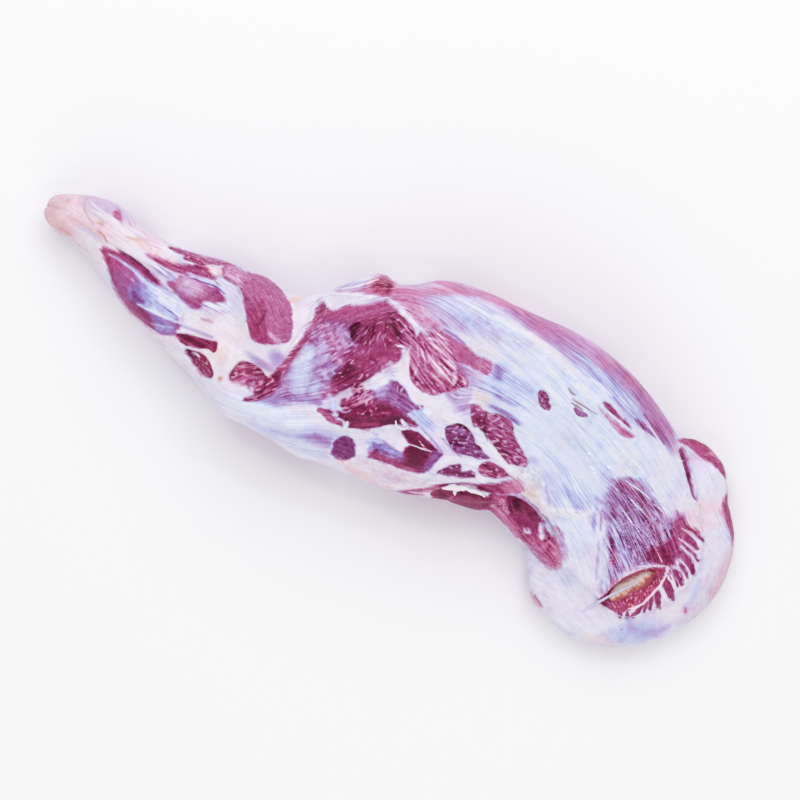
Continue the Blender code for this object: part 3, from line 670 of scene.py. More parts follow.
# Strokes of change: what changes, then each line of x, y, width; a rise is mm, edge 1 opens a window and
# -1 closes one (2 goes half a mm further)
strokes = [
    # knuckle and shank
    (onSkin(0.3, warm=0.9), [(-240, -16, 0.8), (-236, -20.5, 1.2), (-230, -21.5, 1.6), (-225, -22, 1)]),
    (dict(warm=0.6, dark=0.06), [(-238, -22, 0.8), (-226, -23.6, 1.2), (-215, -25, 1), (-207, -26.6, 0.4)]),
    (dict(warm=0.7), [(-247, -12, 0.8), (-244, -9, 0.8), (-242, -13, 0.8)]),
    (onSkin(0.26, warm=0.75, dark=0.06, rise=-0.9), [(-227, 8, 0.8), (-228, 1, 1.2), (-225.5, -3.6, 1),
     (-220, -6.9, 0.8), (-216, -8.6, 0.6)]),
    (onSkin(0.26, warm=0.6, rise=-1.2), [(-251, -12, 1), (-246, -12.5, 2), (-240, -11, 1.2)]),
    (onSkin(0.2, warm=0.5, rise=-0.4), [(-243, 6, 1), (-238, 3, 1.4), (-232, 3.6, 1)]),
    (onSkin(0.22, warm=0.6, rise=-0.4), [(-247, -4, 1), (-242, -5, 1.4), (-237, -8, 1)]),
    (onSkin(0.2, warm=0.55, rise=0.3), [(-241, -19, 3), (-234, -18, 4), (-226, -18, 3)]),
    (dict(rise=0.8), [(-246, -2, 5), (-247, -8, 4)]),
    (onSkin(0.1, rise=0.5), [(-234, 1, 2), (-233, -8, 3), (-236, -15, 2)]),
    (onSkin(0.24, warm=0.6, rise=-0.3), [(-228, -12, 1), (-216, -13, 1.6), (-206, -14, 1)]),
    (onSkin(0, warm=0, rise=0.3), [(-224, 3, 1), (-216, 1.2, 1.4), (-208, 1, 1.4), (-200, -1, 1)],
     [(-212, 0, 2), (-203, -1.7, 3.4), (-195, -3.5, 3), (-189, -2.7, 1.4)]),
    (onSkin(0.2, warm=0.9), [(-194, -5.3, 0.7), (-191, -4.3, 1.2), (-186, -3.6, 1)]),
    (onSkin(0.32, 1, warm=0.5), [(-186, -1.5, 1), (-182, -2.6, 1.6), (-176, -3.6, 1)]),
    (onSkin(0.4, warm=1, dark=0.25, rise=-0.5), [(-211, -11.2, 0.6), (-206, -12, 0.9), (-203, -14.4, 0.6)]),
    (onSkin(0.4, 1, warm=0), [(-198, 5, 0.6), (-194, 2.6, 1.2), (-188, 1, 0.6)],
     [(-202.5, 4.5, 0.6), (-201, 2, 1.2), (-200, -0.5, 0.6)]),
    (onSkin(0.14, 1, warm=0.05, streak=0.3), [(-192, 4, 5), (-182, 2, 7), (-170, 0, 6)]),
    (dict(warm=0.9), [(-178, 3.6, 0.8), (-172, 4.8, 1), (-167.5, 5, 0.8)]),
    (onMuscle(0.88, 1, crag=0.2), [(-155, 1.8, 1), (-148, 3.2, 2), (-141.5, 5, 1.4)]),
    (onSkin(0.2, warm=0.3, edge=-1, fray=2, streak=0.5), [(-139, 5, 2), (-134, 5, 4.4), (-129, 3, 3)]),
    (onMuscle(0.76, 1), [(-176, -8, 1), (-168, -7.8, 2.4), (-160, -7, 3)]),
    (onMuscle(0.78, 1, crag=0.4), [(-147, 1.4, 2), (-141, 2, 3), (-134, 0.6, 2)]),
    (onSkin(0.26, 0.25, edge=-0.8), [(-149, -5.6, 0.8), (-142, -4.6, 1.6), (-134, -2.8, 1)]),
    (onMuscle(0.95, 0.1, veil=0.85, pink=0.1, rise=-0.5), [(-149, -7.7, 0.5), (-140, -6.3, 0.9),
     (-132, -4.5, 1), (-126, -4, 0.9), (-121, -5.2, 0.5)]),
    (onSkin(0.45, 0), [(-164, -11.5, 1.2), (-158, -12.8, 2.6), (-153, -14, 1.2)]),
    (onMuscle(0.74, 0.9), [(-200, -17.8, 2), (-190, -16.8, 3), (-180, -16.8, 3.6), (-170, -18.6, 3.4),
     (-161, -21, 2)]),
    (onMuscle(0.94, 0.7), [(-200, -16.6, 0.5), (-190, -15.2, 1), (-178, -15.2, 1.2), (-166, -17.6, 1)]),
    (onMuscle(0.9, 0.9), [(-172, -18.5, 1.6), (-167, -19.4, 2.4), (-162, -20.6, 1.2)]),
    (onMuscle(0.16, 0, inStreak=0.25), [(-198, -20, 0.6), (-190, -20.3, 1.4), (-180, -21.2, 2),
     (-172, -23.4, 2.6), (-162, -25, 4), (-150, -27, 6), (-140, -30, 6)]),
    (onMuscle(0.46, 0), [(-158, -31.5, 1), (-148, -32, 1.4), (-140, -33, 1)]),
    (onMuscle(0.78, 0.12), [(-172, -33.5, 3), (-168, -35.8, 4), (-163, -35.5, 2)]),
    (onMuscle(0.74, 0.8), [(-192, -30, 3), (-184, -36, 4), (-174, -41, 4.5), (-164, -44.5, 4),
     (-150, -46.6, 3)]),
    (onMuscle(0, 0, veil=0, rise=0.4), [(-166, -38.3, 0.5), (-152, -37.6, 1.3), (-136, -35.6, 1),
     (-125, -34, 0.5)]),
    (onMuscle(0.3, 0.1), [(-152, -45, 0.5), (-145, -42.6, 1), (-139, -40.6, 0.6)]),
    (onSkin(0.14, 0.2, edge=-0.5, fray=2), [(-137, -27, 2.4), (-134.5, -33, 3), (-134.5, -37, 2)]),
    (onMuscle(0.5, 1, warm=0.15), [(-149, -9, 0.7), (-148.5, -13, 1), (-150, -18, 0.7)]),
    (onMuscle(0.62, 1), [(-156, -17.5, 1), (-152, -16.5, 3), (-150, -19, 2)]),
    (onSkin(0.34, 1, warm=0.5, edge=-2), [(-136.8, -30, 1.2), (-136.5, -32, 1.6), (-135.5, -35, 0.6)]),
    (onSkin(0.4, 1), [(-135.3, -36, 0.5), (-134.7, -40, 0.6)]),
    (onSkin(0.42, 1, warm=0.2), [(-126, -26.4, 1), (-122, -25.4, 2), (-118, -24.8, 0.8)]),
    (onSkin(0.12, 0.8, warm=0.1), [(-180, -42, 3), (-160, -48, 4), (-140, -52, 4)]),
    (onSkin(0.4, 0.1), [(-140, -38, 1.6), (-128, -35.5, 2.4), (-114, -33.2, 2)]),
    # elbow
    (onMuscle(0.94, 1), [(-134, -43.4, 2), (-130, -43, 4), (-126, -43, 3)]),
    (onMuscle(0.95, 0.3, dark=0.2), [(-124, -48.8, 2), (-120, -49.6, 4)]),
    # the cut's left mass, its torn muscle given painted glints
    (onMuscle(0.66, 1, crag=1), [(-89, -38, 5), (-89, -46, 7), (-81, -44, 7)]),
    (onMuscle(0.66, 0.7, frost=0.4), [(-76, -40, 3), (-77, -46, 4)]),
    (onMuscle(0.82, 1), [(-66, -34, 4), (-64, -41, 5), (-70, -50, 4), (-75, -56, 3)]),
    (onSkin(0.05, edge=-1.5, rise=0.4), [(-76, -49, 2.4), (-74.8, -51.5, 2), (-78, -56, 2)]),
    (onSkin(0.16, 0.8, edge=-0.6, fray=2), [(-90, -52, 2), (-84, -51, 3), (-78, -50, 2)]),
    (onMuscle(0.76, 0.95), [(-98, 2, 3), (-94, -8, 4), (-90, -17, 3)]),
    # painted highlight: a pale patch where the elbow muscle glints
    (onMuscle(0.4, 0.8, frost=0.6), [(-84, -13, 2), (-78, -14, 3), (-73, -15, 2)]),
    (onMuscle(0.92, dark=0.25), [(-93, -2, 0.8), (-91.3, -7, 1.6), (-92.5, -12, 0.8)]),
    (onSkin(0.03, 0.6, rise=0.5), [(-84, 19, 4), (-74, 12, 6), (-68, 0, 5), (-66, -10, 3)]),
    # arm
    (onSkin(0.06, 0.4, edge=-1, fray=1.6, rise=0.6, lump=0.4), [(-76, 14, 3), (-68, 21, 5), (-58, 29, 5),
     (-46, 36, 4), (-36, 40.6, 3), (-28, 44, 3)]),
    (onSkin(0.06, 0.4, edge=-1, fray=1.4, rise=0.6, lump=0.5), [(-30, 43.4, 3), (-20, 43, 4.4),
     (-10, 40.6, 4), (-2, 38.4, 3), (4, 37, 2)]),
    (onMuscle(0.7, 0.75, crag=0.5, frost=0.6), [(-56, 8, 8), (-46, 3, 10), (-37, -5, 8)]),
    (onMuscle(0.5, 0.4, crag=0.4, frost=0.55), [(-50, -4, 8), (-42, -14, 9), (-36, -24, 6)]),
    (onMuscle(0.24, 0.1, crag=0.25, inStreak=0.2, frost=0.15, weave=0.6), [(-57, -10, 8), (-54, -24, 12),
     (-49, -34, 10)]),
    (onMuscle(0.3, 0.15, crag=0.3), [(-42, -26, 6), (-41, -32, 6)]),
    (onMuscle(0.6, 0.3, veil=0.52, pink=0.3, crag=0, frost=0), [(-64, -49, 4), (-54, -43, 5), (-44, -38, 5),
     (-34, -35, 4)]),
    # painted shade in the dark hollow, then painted glints on the torn muscle right of it
    (onMuscle(1, dark=0.6, crag=0), [(-37, 20, 3), (-37.8, 16.5, 5), (-35.5, 11.5, 3)]),
    (onMuscle(0.8, crag=1, dark=0.1), [(-31, 20, 3), (-31, 13, 4)]),
    (onMuscle(0.92, inStreak=0.6, crag=0.3), [(-24, 37, 1.4), (-16, 31, 2.4), (-7, 24, 1.6)]),
    (onMuscle(0.95, 0.95, dark=0.15, crag=0.1), [(-28, -6, 4), (-24, -16, 6), (-27, -26, 4)]),
    (onSkin(0.05, edge=-1, warm=0.1, rise=0.6), [(-1, 23, 2), (1, 17, 4), (3, 8, 6)]),
    (onSkin(0.12, 0.5, edge=-1.5, fray=2.4, rise=0.4), [(-6, 8, 4), (-8, 1, 4), (-9, -6, 3)]),
    (onMuscle(0.8, 1, edge=1, crag=1, fray=1), [(-20, -14, 7), (-14, -19, 9), (-18, -28, 7)]),
    # painted highlights: white glint lines on raised torn fibres
    (onMuscle(0.05, veil=0.02, rise=0.6), [(-20, -24, 0.7), (-16, -15, 1.2), (-10, -10.8, 0.8)]),
    (onMuscle(0.2, rise=0.4), [(-17, -29, 0.6), (-12, -23, 1), (-7, -19.5, 0.5)]),
    (onSkin(0.25, 0.3, edge=-0.6, fray=2, frost=0.5), [(-31, -28, 3), (-26, -32, 5), (-20, -37, 3)]),
    (onMuscle(0.62, 1, edge=1.5), [(-31, -39, 3), (-22, -40.5, 4), (-14, -40, 2.4)]),
    (onSkin(0, edge=-2, rise=0.8), [(-12, -37, 1.6), (-11.5, -42, 1.2)]),
    (onMuscle(0.8, warm=0.5), [(-40, 50, 2), (-37, 48, 3)]),
    (onMuscle(0.9, dark=0.1), [(-33, 52, 2), (-31, 48, 3)]),
    # middle
    (onSkin(0.47, 0.9, streak=0.25), [(-24, 50, 6), (-8, 62, 6), (8, 72, 6), (25, 77.5, 6), (45, 80, 7),
     (62, 81, 8)]),
    (onSkin(0.5, 0.95, streak=0.3, frost=0.5), [(-12, 46, 6), (-2, 44, 7), (6, 45, 4)]),
    (onSkin(0.62, 0.15), [(12, 45.2, 0.8), (20, 45.2, 1.6), (28, 43.8, 0.8)]),
    (onSkin(0.05, edge=-2, warm=0.6, rise=0.6), [(29, 43.6, 0.6), (34, 44.6, 1.6), (41.5, 46.8, 0.8)]),
    (onSkin(0.05, warm=0.5, rise=0.5), [(48, 22, 2), (54, 19, 4), (58, 21, 2)]),
    (onMuscle(0.64, 0.9, edge=1), [(26, 31, 3), (33, 26.5, 4), (40, 24.8, 2)]),
    (whiteStreak, [(9, 40.3, 0.6), (14, 40.5, 1), (19, 40.2, 0.5)],
     [(5, 34.8, 0.8), (11, 36.8, 2.2), (18, 35.8, 2), (25, 34, 0.8)],
     [(7, 33, 0.6), (14, 33, 2.2), (22, 31.3, 2.4), (28, 29.3, 2), (31.5, 27.5, 0.8)],
     [(9, 30.6, 0.5), (15, 29.4, 1), (20, 28.4, 0.6), (26, 27.6, 1.6), (31, 26.3, 0.6)],
     [(8.5, 27.8, 0.6), (13, 25, 2), (20, 22.3, 2.6), (27, 20.3, 2.6), (33, 17.5, 1)],
     [(17, 26, 0.6), (22, 25, 1.2), (28, 22.8, 1.2), (31, 21.5, 0.5)],
     [(30.5, 25, 1), (33, 22.5, 2.6), (34.5, 19, 2), (34, 16.5, 0.6)],
     [(18, 17, 0.6), (23, 16, 1.8), (28, 14.6, 0.6)], [(9.5, 15, 0.6), (10, 12, 1.2), (10.5, 8.5, 0.6)],
     [(2, 28.5, 0.4), (4.5, 25, 0.9), (7, 21.5, 0.4)], [(5.5, 27.5, 0.4), (9, 23.5, 0.9), (13, 20.5, 0.4)],
     [(38, 24, 0.6), (41, 22, 1.8), (42.5, 19.5, 0.8)]),
    (darkLine, [(5, 33.6, 0.4), (12, 31.5, 0.8), (20, 30.1, 0.8), (24, 29.6, 0.3)],
     [(5, 31.5, 0.4), (13, 27.9, 0.9), (22, 25.9, 0.9), (31, 25.1, 0.6)],
     [(7, 27.5, 0.4), (13, 22.3, 1.2), (20, 19, 1.2), (28, 16, 1), (33, 14.6, 0.5)],
     [(16, 15.8, 0.5), (24, 12, 1), (31, 8.5, 0.5)], [(35.5, 24, 0.5), (36.5, 19, 1), (35, 14, 0.6)]),
    # painted glints and sheen on torn muscle
    (dict(crag=1, frost=0.5), [(22, 6.5, 2), (26, 6.5, 4), (29, 8.5, 2)]),
    (onSkin(0.03, edge=-1.5, rise=0.9), [(0, 5, 4), (10, 2.5, 5), (22, 0.5, 5), (34, 1, 9), (45, -3, 7)]),
    (onSkin(-0.1, rise=1.2), [(27, -6.5, 2), (30.5, -6, 3.4)]),
    (onSkin(0.3, 0, edge=-1, frost=0.3), [(22, -5, 1), (25.5, -8, 3), (24, -13, 3)]),
    (onMuscle(0.9, 0.95, inStreak=0.08), [(-20, -34, 5), (-4, -24, 10), (8, -17, 6), (17, -17, 3)]),
    (onMuscle(0.8, 1), [(-12, -38, 3), (-4, -34, 3), (6, -28, 2)]),
    (onMuscle(0.6), [(2, -23.5, 0.3), (5, -20, 0.7), (8, -18, 0.3)]),
    (onMuscle(0.62, 0.9, edge=0.8), [(20, -18, 1), (24, -18.2, 2.2), (28, -17, 1)]),
    (darkLine, [(20, -14.3, 0.6), (25, -15.2, 1), (29, -16.4, 0.5)],
     [(46, -4.6, 1), (51, -2.8, 1.6), (60, -4.2, 1)]),
    (onSkin(0.02, edge=-1.5, rise=0.9), [(17.6, -18.6, 1), (20, -19.6, 2), (21.6, -22, 1)]),
    (onMuscle(0.93, 0.9, frost=0.12), [(21, -23.6, 1), (30, -22.6, 3), (40, -24, 3)]),
    (onMuscle(0.5, 0, inStreak=0.3), [(9, -40.5, 2), (18, -39.4, 3.4), (28, -37.6, 3)]),
    (onMuscle(0.74, 0.25, inStreak=0.3), [(12, -43.6, 2), (20, -41.6, 2), (30, -39.6, 2)]),
    (onMuscle(0.76, 1), [(10, -46.4, 3), (26, -45, 4), (42, -42.6, 3)]),
    (onSkin(0.5, 0.3), [(30, -16.5, 0.6), (40, -19.4, 1.4), (50, -23.2, 0.8)]),
    (onSkin(0.5, 0.2), [(45, -15.4, 0.6), (54, -18.4, 1.2), (62, -19.8, 0.6)]),
    (onSkin(0.5, 0.1, streak=0.2), [(-26, -54, 3), (-18, -55, 5), (-12, -54, 4)]),
    (onSkin(0.05, edge=-1), [(-14, -50, 0.8), (-12.5, -56, 1)]),
    (onSkin(0.12, 1, warm=0.35, crag=0.3), [(-4, -60, 3), (16, -62, 4), (34, -60, 3)]),
    (onSkin(-0.1, edge=-1, rise=1), [(78, -24.6, 3), (82, -24.8, 4)]),
    # ledge
    (onSkin(-0.05, 0.35, lump=1.3, rise=0.9, weave=0), [(111, -13, 3), (119, -18.5, 5), (128, -20.6, 5.4),
     (135, -19, 5), (141, -15, 4), (149, -12.4, 5.4), (154, -6, 3)]),
    (onSkin(-0.05, lump=1.3, rise=0.7, weave=0), [(104, -3, 4), (108, -5, 5), (112, -8, 4)]),
    (onSkin(-0.05, lump=1, rise=0.4, weave=0), [(148, -16, 3), (153, -15, 3)]),
    (onSkin(-0.05, lump=1.6), [(94, -6, 2), (99, -8, 5), (106, -9, 5), (113, -11, 3)]),
    (dict(lump=1), [(98, -13, 3), (107, -15, 4), (116, -18, 3)]),
    (dict(lump=0.7), [(34, 4, 4), (38, 0, 8), (42, -5, 6)]),
    (dict(lump=0.5), [(4, 6, 3), (12, 3, 3), (22, 2, 3)]),
    (dict(lump=0.8), [(14, -54, 4), (30, -53, 6), (46, -48, 5), (54, -38, 4)]),
    (onSkin(0, lump=1), [(66, -19, 3), (72, -18.5, 4), (76, -20, 3)],
     [(48, 22, 2), (51, 17, 3), (50, 13, 2)]),
    (onMuscle(0.68, 1), [(44, -54.5, 1), (58, -44.5, 2), (72, -34.4, 2), (86, -26.5, 2.4), (98, -18, 3)]),
    (darkLine, [(60, -43.4, 1), (66, -38.8, 1.6), (74, -34.4, 1.8), (82, -32.4, 1.8), (90, -31, 2.4)]),
    # the lobe's dark left end, darkened more by painted shadow under the strand of fat
    (onMuscle(0.97, 1, dark=0.12), [(61, -45.5, 2), (64, -47.5, 4.4), (67, -48.2, 4)]),
    (onMuscle(0.52, rise=0.3), [(70.5, -43.6, 0.5), (69, -47, 0.9), (69, -51, 0.6)]),
    (darkLine, [(73, -39.4, 1), (80, -37.2, 1.4), (88, -35.6, 1)]),
    (onMuscle(0.88, 1), [(91, -29.8, 2), (96, -29, 3.4), (101, -28.4, 2)]),
    # painted glints and sheen on torn muscle
    (onMuscle(0.66, crag=1, frost=0.4), [(97, -31.5, 2), (101, -33, 3), (106, -36.5, 2)]),
    (onMuscle(0.56, 1, inStreak=0.3), [(95, -37.5, 3), (106, -41, 4), (118, -44.4, 3)]),
    (onMuscle(1, dark=0.15), [(103, -26.5, 2), (108, -28, 4), (112, -31, 3)]),
    (onMuscle(0.8, 1), [(112, -33, 4), (119, -35, 5), (124, -34, 3)]),
    (onMuscle(0.42, 0.45, edge=1), [(102, -24.4, 1), (110, -23.6, 2), (120, -25.6, 1.6), (125, -27.6, 1)]),
    (onSkin(0, edge=-1.2, rise=0.6), [(121, -40.4, 1.6), (124, -40, 1.4)]),
    (onMuscle(0.7, warm=0.7), [(125, -41.6, 1), (125.6, -41.8, 1)]),
    (onMuscle(0.4, 0.25, crag=0.7, frost=0.5, rise=0.3), [(126, -26, 3), (132, -28.6, 6), (137, -33, 4)]),
    (onSkin(0.04, edge=-1, lump=1, fray=1.2, rise=0.5), [(128, -31, 1), (130, -35, 2.6),
     (133, -38.4, 1.8)]),
    (onSkin(0.04, edge=-1, rise=0.5), [(131, -29.6, 0.6), (134, -31.6, 1.4), (136.6, -34, 0.6)]),
    (darkLine, [(127, -29, 1), (128.5, -33, 1.2), (132, -33.8, 0.8)],
     [(134, -34.5, 0.8), (137, -37, 1.2), (134.5, -40.6, 0.8)]),
    (onMuscle(0.5, 0.6, frost=0.4, fray=2.5), [(137, -30, 3), (143, -34, 5), (148, -39, 4)]),
    (onMuscle(0.72, 1, warm=0.15, fray=3), [(139, -41, 3), (143, -46, 5), (147, -49, 4)]),
    (onMuscle(0.66, 1), [(126, -44.4, 2), (134, -46.6, 3), (143, -48, 2)]),
    (onSkin(0.12, 0.4, edge=-1), [(116, -47.6, 1), (124, -49, 2), (134, -51, 2)]),
    (onSkin(0, edge=-2, warm=0.15, rise=1), [(93, -9, 3), (101, -10, 5), (110, -10, 4), (117, -9, 2)]),
    (onSkin(-0.1, rise=1.2), [(114, -6.6, 1), (116.6, -8.6, 2.4)]),
    (onSkin(0.4, 0), [(118, -8, 0.6), (121, -12, 1), (126, -17, 0.6)]),
    (onSkin(0.02, edge=-1.5, rise=0.6), [(62, 1, 2), (76, -5, 3), (90, -11, 3), (99, -14, 2)]),
    (onSkin(0.05, edge=-1.5, rise=0.5), [(56, -25, 4), (52, -33, 4), (48, -44, 4)]),
    # fan of silver skin and ridge
    (onSkin(0.6, 0.35), [(53, 41, 4), (57.5, 39, 6), (58, 37, 4)]),
    (onSkin(0.34, 0, streak=0.5), [(60, 39, 3), (70, 38.5, 5), (80, 39, 3)]),
    (onSkin(0.4, 0.05, streak=0.6), [(58, 28, 3), (67, 27, 4), (76, 27, 3)]),
    (onSkin(0.6, 0.1), [(62, 17.5, 1.4), (72, 18.5, 2), (84, 16, 1.4)]),
    (onSkin(0, warm=0.1, rise=0.4), [(36, 69, 2), (60, 69, 3), (80, 67, 3), (100, 60, 3)]),
    (onSkin(0.5, 0.72, streak=0.2), [(55, 80, 6), (80, 81, 8), (105, 79, 7), (130, 74, 6)]),
    (onSkin(0.52, 0.7, streak=0.3), [(128, 78, 4), (150, 70, 6), (170, 60, 5)]),
    (onSkin(0.7, 0.7, streak=0.8), [(150, 62, 1.4), (160, 57.5, 2), (170, 52, 1.2)]),
    (onSkin(0, rise=0.3), [(108, 64, 1.2), (116, 64.5, 1.6), (126, 62, 1.2)]),
    (onSkin(0, warm=0.1, rise=0.4), [(104, 57, 4), (118, 55, 5)]),
    (onSkin(-0.05, rise=0.4, lump=0.8), [(143, 38, 2), (152, 34, 3), (158, 30, 2)]),
    (onSkin(0, rise=0.4), [(150, 34, 0.6), (158, 32, 1.2), (166, 31, 0.6)]),
    # blade end
    (onMuscle(0.82, 0.8), [(158, 17, 3), (168, 15.5, 4), (180, 12, 3)]),
    (onMuscle(0.85, 0.8, edge=1), [(162, 21.5, 1), (168, 21.8, 2), (176, 20.5, 1)]),
    (onMuscle(0.88, 0.7), [(180, 14, 1), (188, 13.5, 1.8), (198, 11.5, 3)]),
    (onMuscle(0.78, 0.62), [(182, 9, 4), (192, 3, 8), (200, -3, 7)]),
    (onMuscle(0.46, 0.15), [(168, -8, 5), (178, -17, 8), (188, -25, 6)]),
    (onMuscle(0.36, 0.1, fray=4), [(170, -24, 6), (178, -38, 6), (184, -48, 3)]),
    (onMuscle(0.86, 0.95, edge=0.5, inStreak=0.25, weave=0.35), [(202, 18, 4), (206, 10, 8), (209, 1, 7),
     (213, -8, 5)]),
    (onMuscle(0.84, 0.75), [(178, -24, 3), (180, -28, 6), (178, -32, 3)]),
    (onMuscle(0.75, 0.7), [(186, -38, 2), (185.5, -46, 2.5)]),
    (tooth, [(205, 13.7, 3), (211, 13.5, 2.2), (217, 12.6, 1.8), (223, 11, 0.6)],
     [(205, 8.5, 2.6), (211, 7.8, 4), (217, 6.2, 3.8), (222, 4.8, 1.2)],
     [(209, 4.6, 0.8), (212, 3.4, 1.8), (214.5, 2.3, 0.8)],
     [(214, 2.6, 0.9), (220, 1, 1.4), (226, -1, 0.7)],
     [(214.5, -1.8, 2), (219, -3.8, 4.2), (224, -6.8, 4), (229, -10.8, 0.8)],
     [(218, -9.3, 1), (222, -11.3, 1.4), (226, -14.5, 0.6)],
     [(217, -14.6, 2), (221, -16.8, 3.6), (225.5, -19.8, 1)],
     [(211, -16, 0.8), (217, -18.8, 1), (223, -22, 0.7)],
     [(213.5, -22.6, 2.6), (217.5, -25.4, 4.4), (221, -28, 4), (224.5, -31.2, 0.8)],
     [(213.5, -31.5, 2), (216, -35, 3.4), (219.4, -39.8, 1.2)],
     [(212.3, -36.5, 0.9), (214, -41, 1.5), (215.8, -44.4, 0.5)],
     [(210.8, -39.5, 0.8), (212, -44, 1.3), (213, -47.4, 0.5)],
     [(209.8, -44.5, 1.2), (209, -49, 2.4), (208.3, -53, 1.6)], [(204, -52.5, 1), (205, -56.2, 1.2)],
     [(200, -55, 1.6), (201.5, -58, 1)]),
    (onSkin(0.26, 0, streak=0.5), [(151, 0, 2), (156, -12, 3), (160, -22, 2)]),
    (onSkin(0.55, 0.4), [(157, -5, 1), (160, -11, 1.4), (163, -16, 0.8)]),
    (onSkin(0.36, 0.1), [(165, -22, 1), (170, -32, 1.6), (176, -45, 1)]),
    (onSkin(0, rise=0.4, lump=1), [(198, 31, 3), (206, 28, 5), (212, 25, 4)]),
    (onSkin(0.12, 1, warm=0.15), [(211, 32, 3), (217, 27, 5), (221, 20, 4)]),
    (onSkin(0.14, 0.5, streak=0.3), [(186, 50, 3), (196, 58, 5), (206, 56, 4)]),
    (dict(frost=0.5), [(193, 66, 2), (198, 63, 5), (206, 61, 4)]),
    (onSkin(0.34, 0.25), [(205, -55, 3), (215, -61, 6), (225, -56, 5), (231, -47, 3)]),
    (onSkin(0.24, 0.2), [(233, -12, 3), (235, -22, 4), (234, -32, 3)]),
    (onSkin(0.22, 1, warm=0.2), [(245, 14, 4), (247, 0, 5), (246, -18, 4)]),
    (onSkin(0.66, 1), [(234.5, -32, 1.2), (236, -34, 1.2)]),
    (onSkin(0.6, 1, warm=0.2), [(147, -73, 1), (151, -75, 1.2), (155, -77, 0.8)]),
    (onMuscle(0.76, warm=0.9, crag=0), [(187, -52, 2), (189, -43, 3), (194, -33, 3), (201, -25, 3),
     (209, -19, 2)]),
    (onMuscle(0.74, warm=0.5), [(196, -54, 5), (203, -45, 7), (208, -34, 7), (210, -24, 4)]),
]

# White sinews and threads, and a few painted glints: x, y, width
sinewsAndGlints = [
    [(-222, -1, 1), (-205, -1.8, 3), (-190, -2.5, 2.4), (-178, -4.5, 1)],
    [(-205, -12, 1), (-185, -12, 3), (-168, -12, 1.5), (-157, -13.4, 1), (-151, -14, 0.3)],
    [(-9, 21, 1), (-7, 22, 1.6), (-4, 22, 1)],
    [(-1, 20, 2), (2, 12, 6), (8, 4, 6), (20, 1, 4), (34, 0, 8), (46, -2, 6)],
    # painted highlights: the first line is glints on the torn curls
    [(-21, -22, 0.6), (-16, -14, 0.8), (-10, -11, 0.6)], [(29, -29.5, 0.8), (36, -28, 1.1), (44, -26, 0.7)],
    [(118, 54, 0.6), (132, 51.5, 1.2), (152, 47.5, 0.6)], [(181, 50, 0.5), (184, 47, 0.9), (187, 50, 0.4)],
    [(160, 19.6, 0.6), (170, 18.8, 1), (181, 17.2, 0.5)],
    [(180, 15.4, 0.5), (188, 15, 0.8), (196, 12.5, 0.5)],
    [(156, 12.5, 0.5), (170, 10.5, 0.8), (184, 6.5, 0.5)], [(158, 5, 0.5), (172, 0.5, 0.8), (186, -5, 0.5)],
    [(186, -2, 0.5), (198, -8, 0.8), (207, -14, 0.6)], [(207, 11.3, 0.5), (216, 10, 0.9), (225, 7.5, 0.5)],
    [(208, 4.6, 0.5), (216, 3.6, 0.9), (226, 1.5, 0.5)],
    [(212, 0.6, 0.6), (220, -0.6, 0.9), (228, -4, 0.5)], [(215, -7, 0.5), (221, -8.4, 1), (227, -12, 0.5)],
    [(214, -13, 0.6), (220, -13, 0.8), (226, -16.5, 0.5)],
    [(213, -17, 0.8), (219, -20.3, 1.2), (225, -25.5, 0.6)],
    [(214, -29.5, 0.8), (218.5, -31.5, 1), (222, -34, 0.5)],
    [(212, -15.5, 1.4), (213.3, -22, 1.6), (213, -29, 1.6), (211.5, -36, 1.4), (209.5, -43, 1.4),
     (206.5, -47.5, 1.2), (203, -50.5, 1)],
    [(195, -24.2, 0.6), (201, -20.2, 1), (207, -16.6, 1.1), (211, -14.8, 0.8)],
    [(-60, 33, 0.6), (-48, 43, 0.8), (-40, 52, 0.5)], [(-63, 28, 0.8), (-52, 33, 1.2), (-44, 37.5, 1)],
    [(-14, -9, 0.5), (-12, -15, 0.8), (-13, -21, 0.5)], [(33, -24, 0.4), (38, -26, 0.8), (44, -27.5, 0.5)],
    [(88, 31.5, 1), (92, 32, 1.6), (96, 33, 1)],
    # painted highlight: a glint on the small cut
    [(-121, -48.7, 0.8), (-117.5, -48.2, 1.6), (-114.5, -48.6, 0.7)],
]

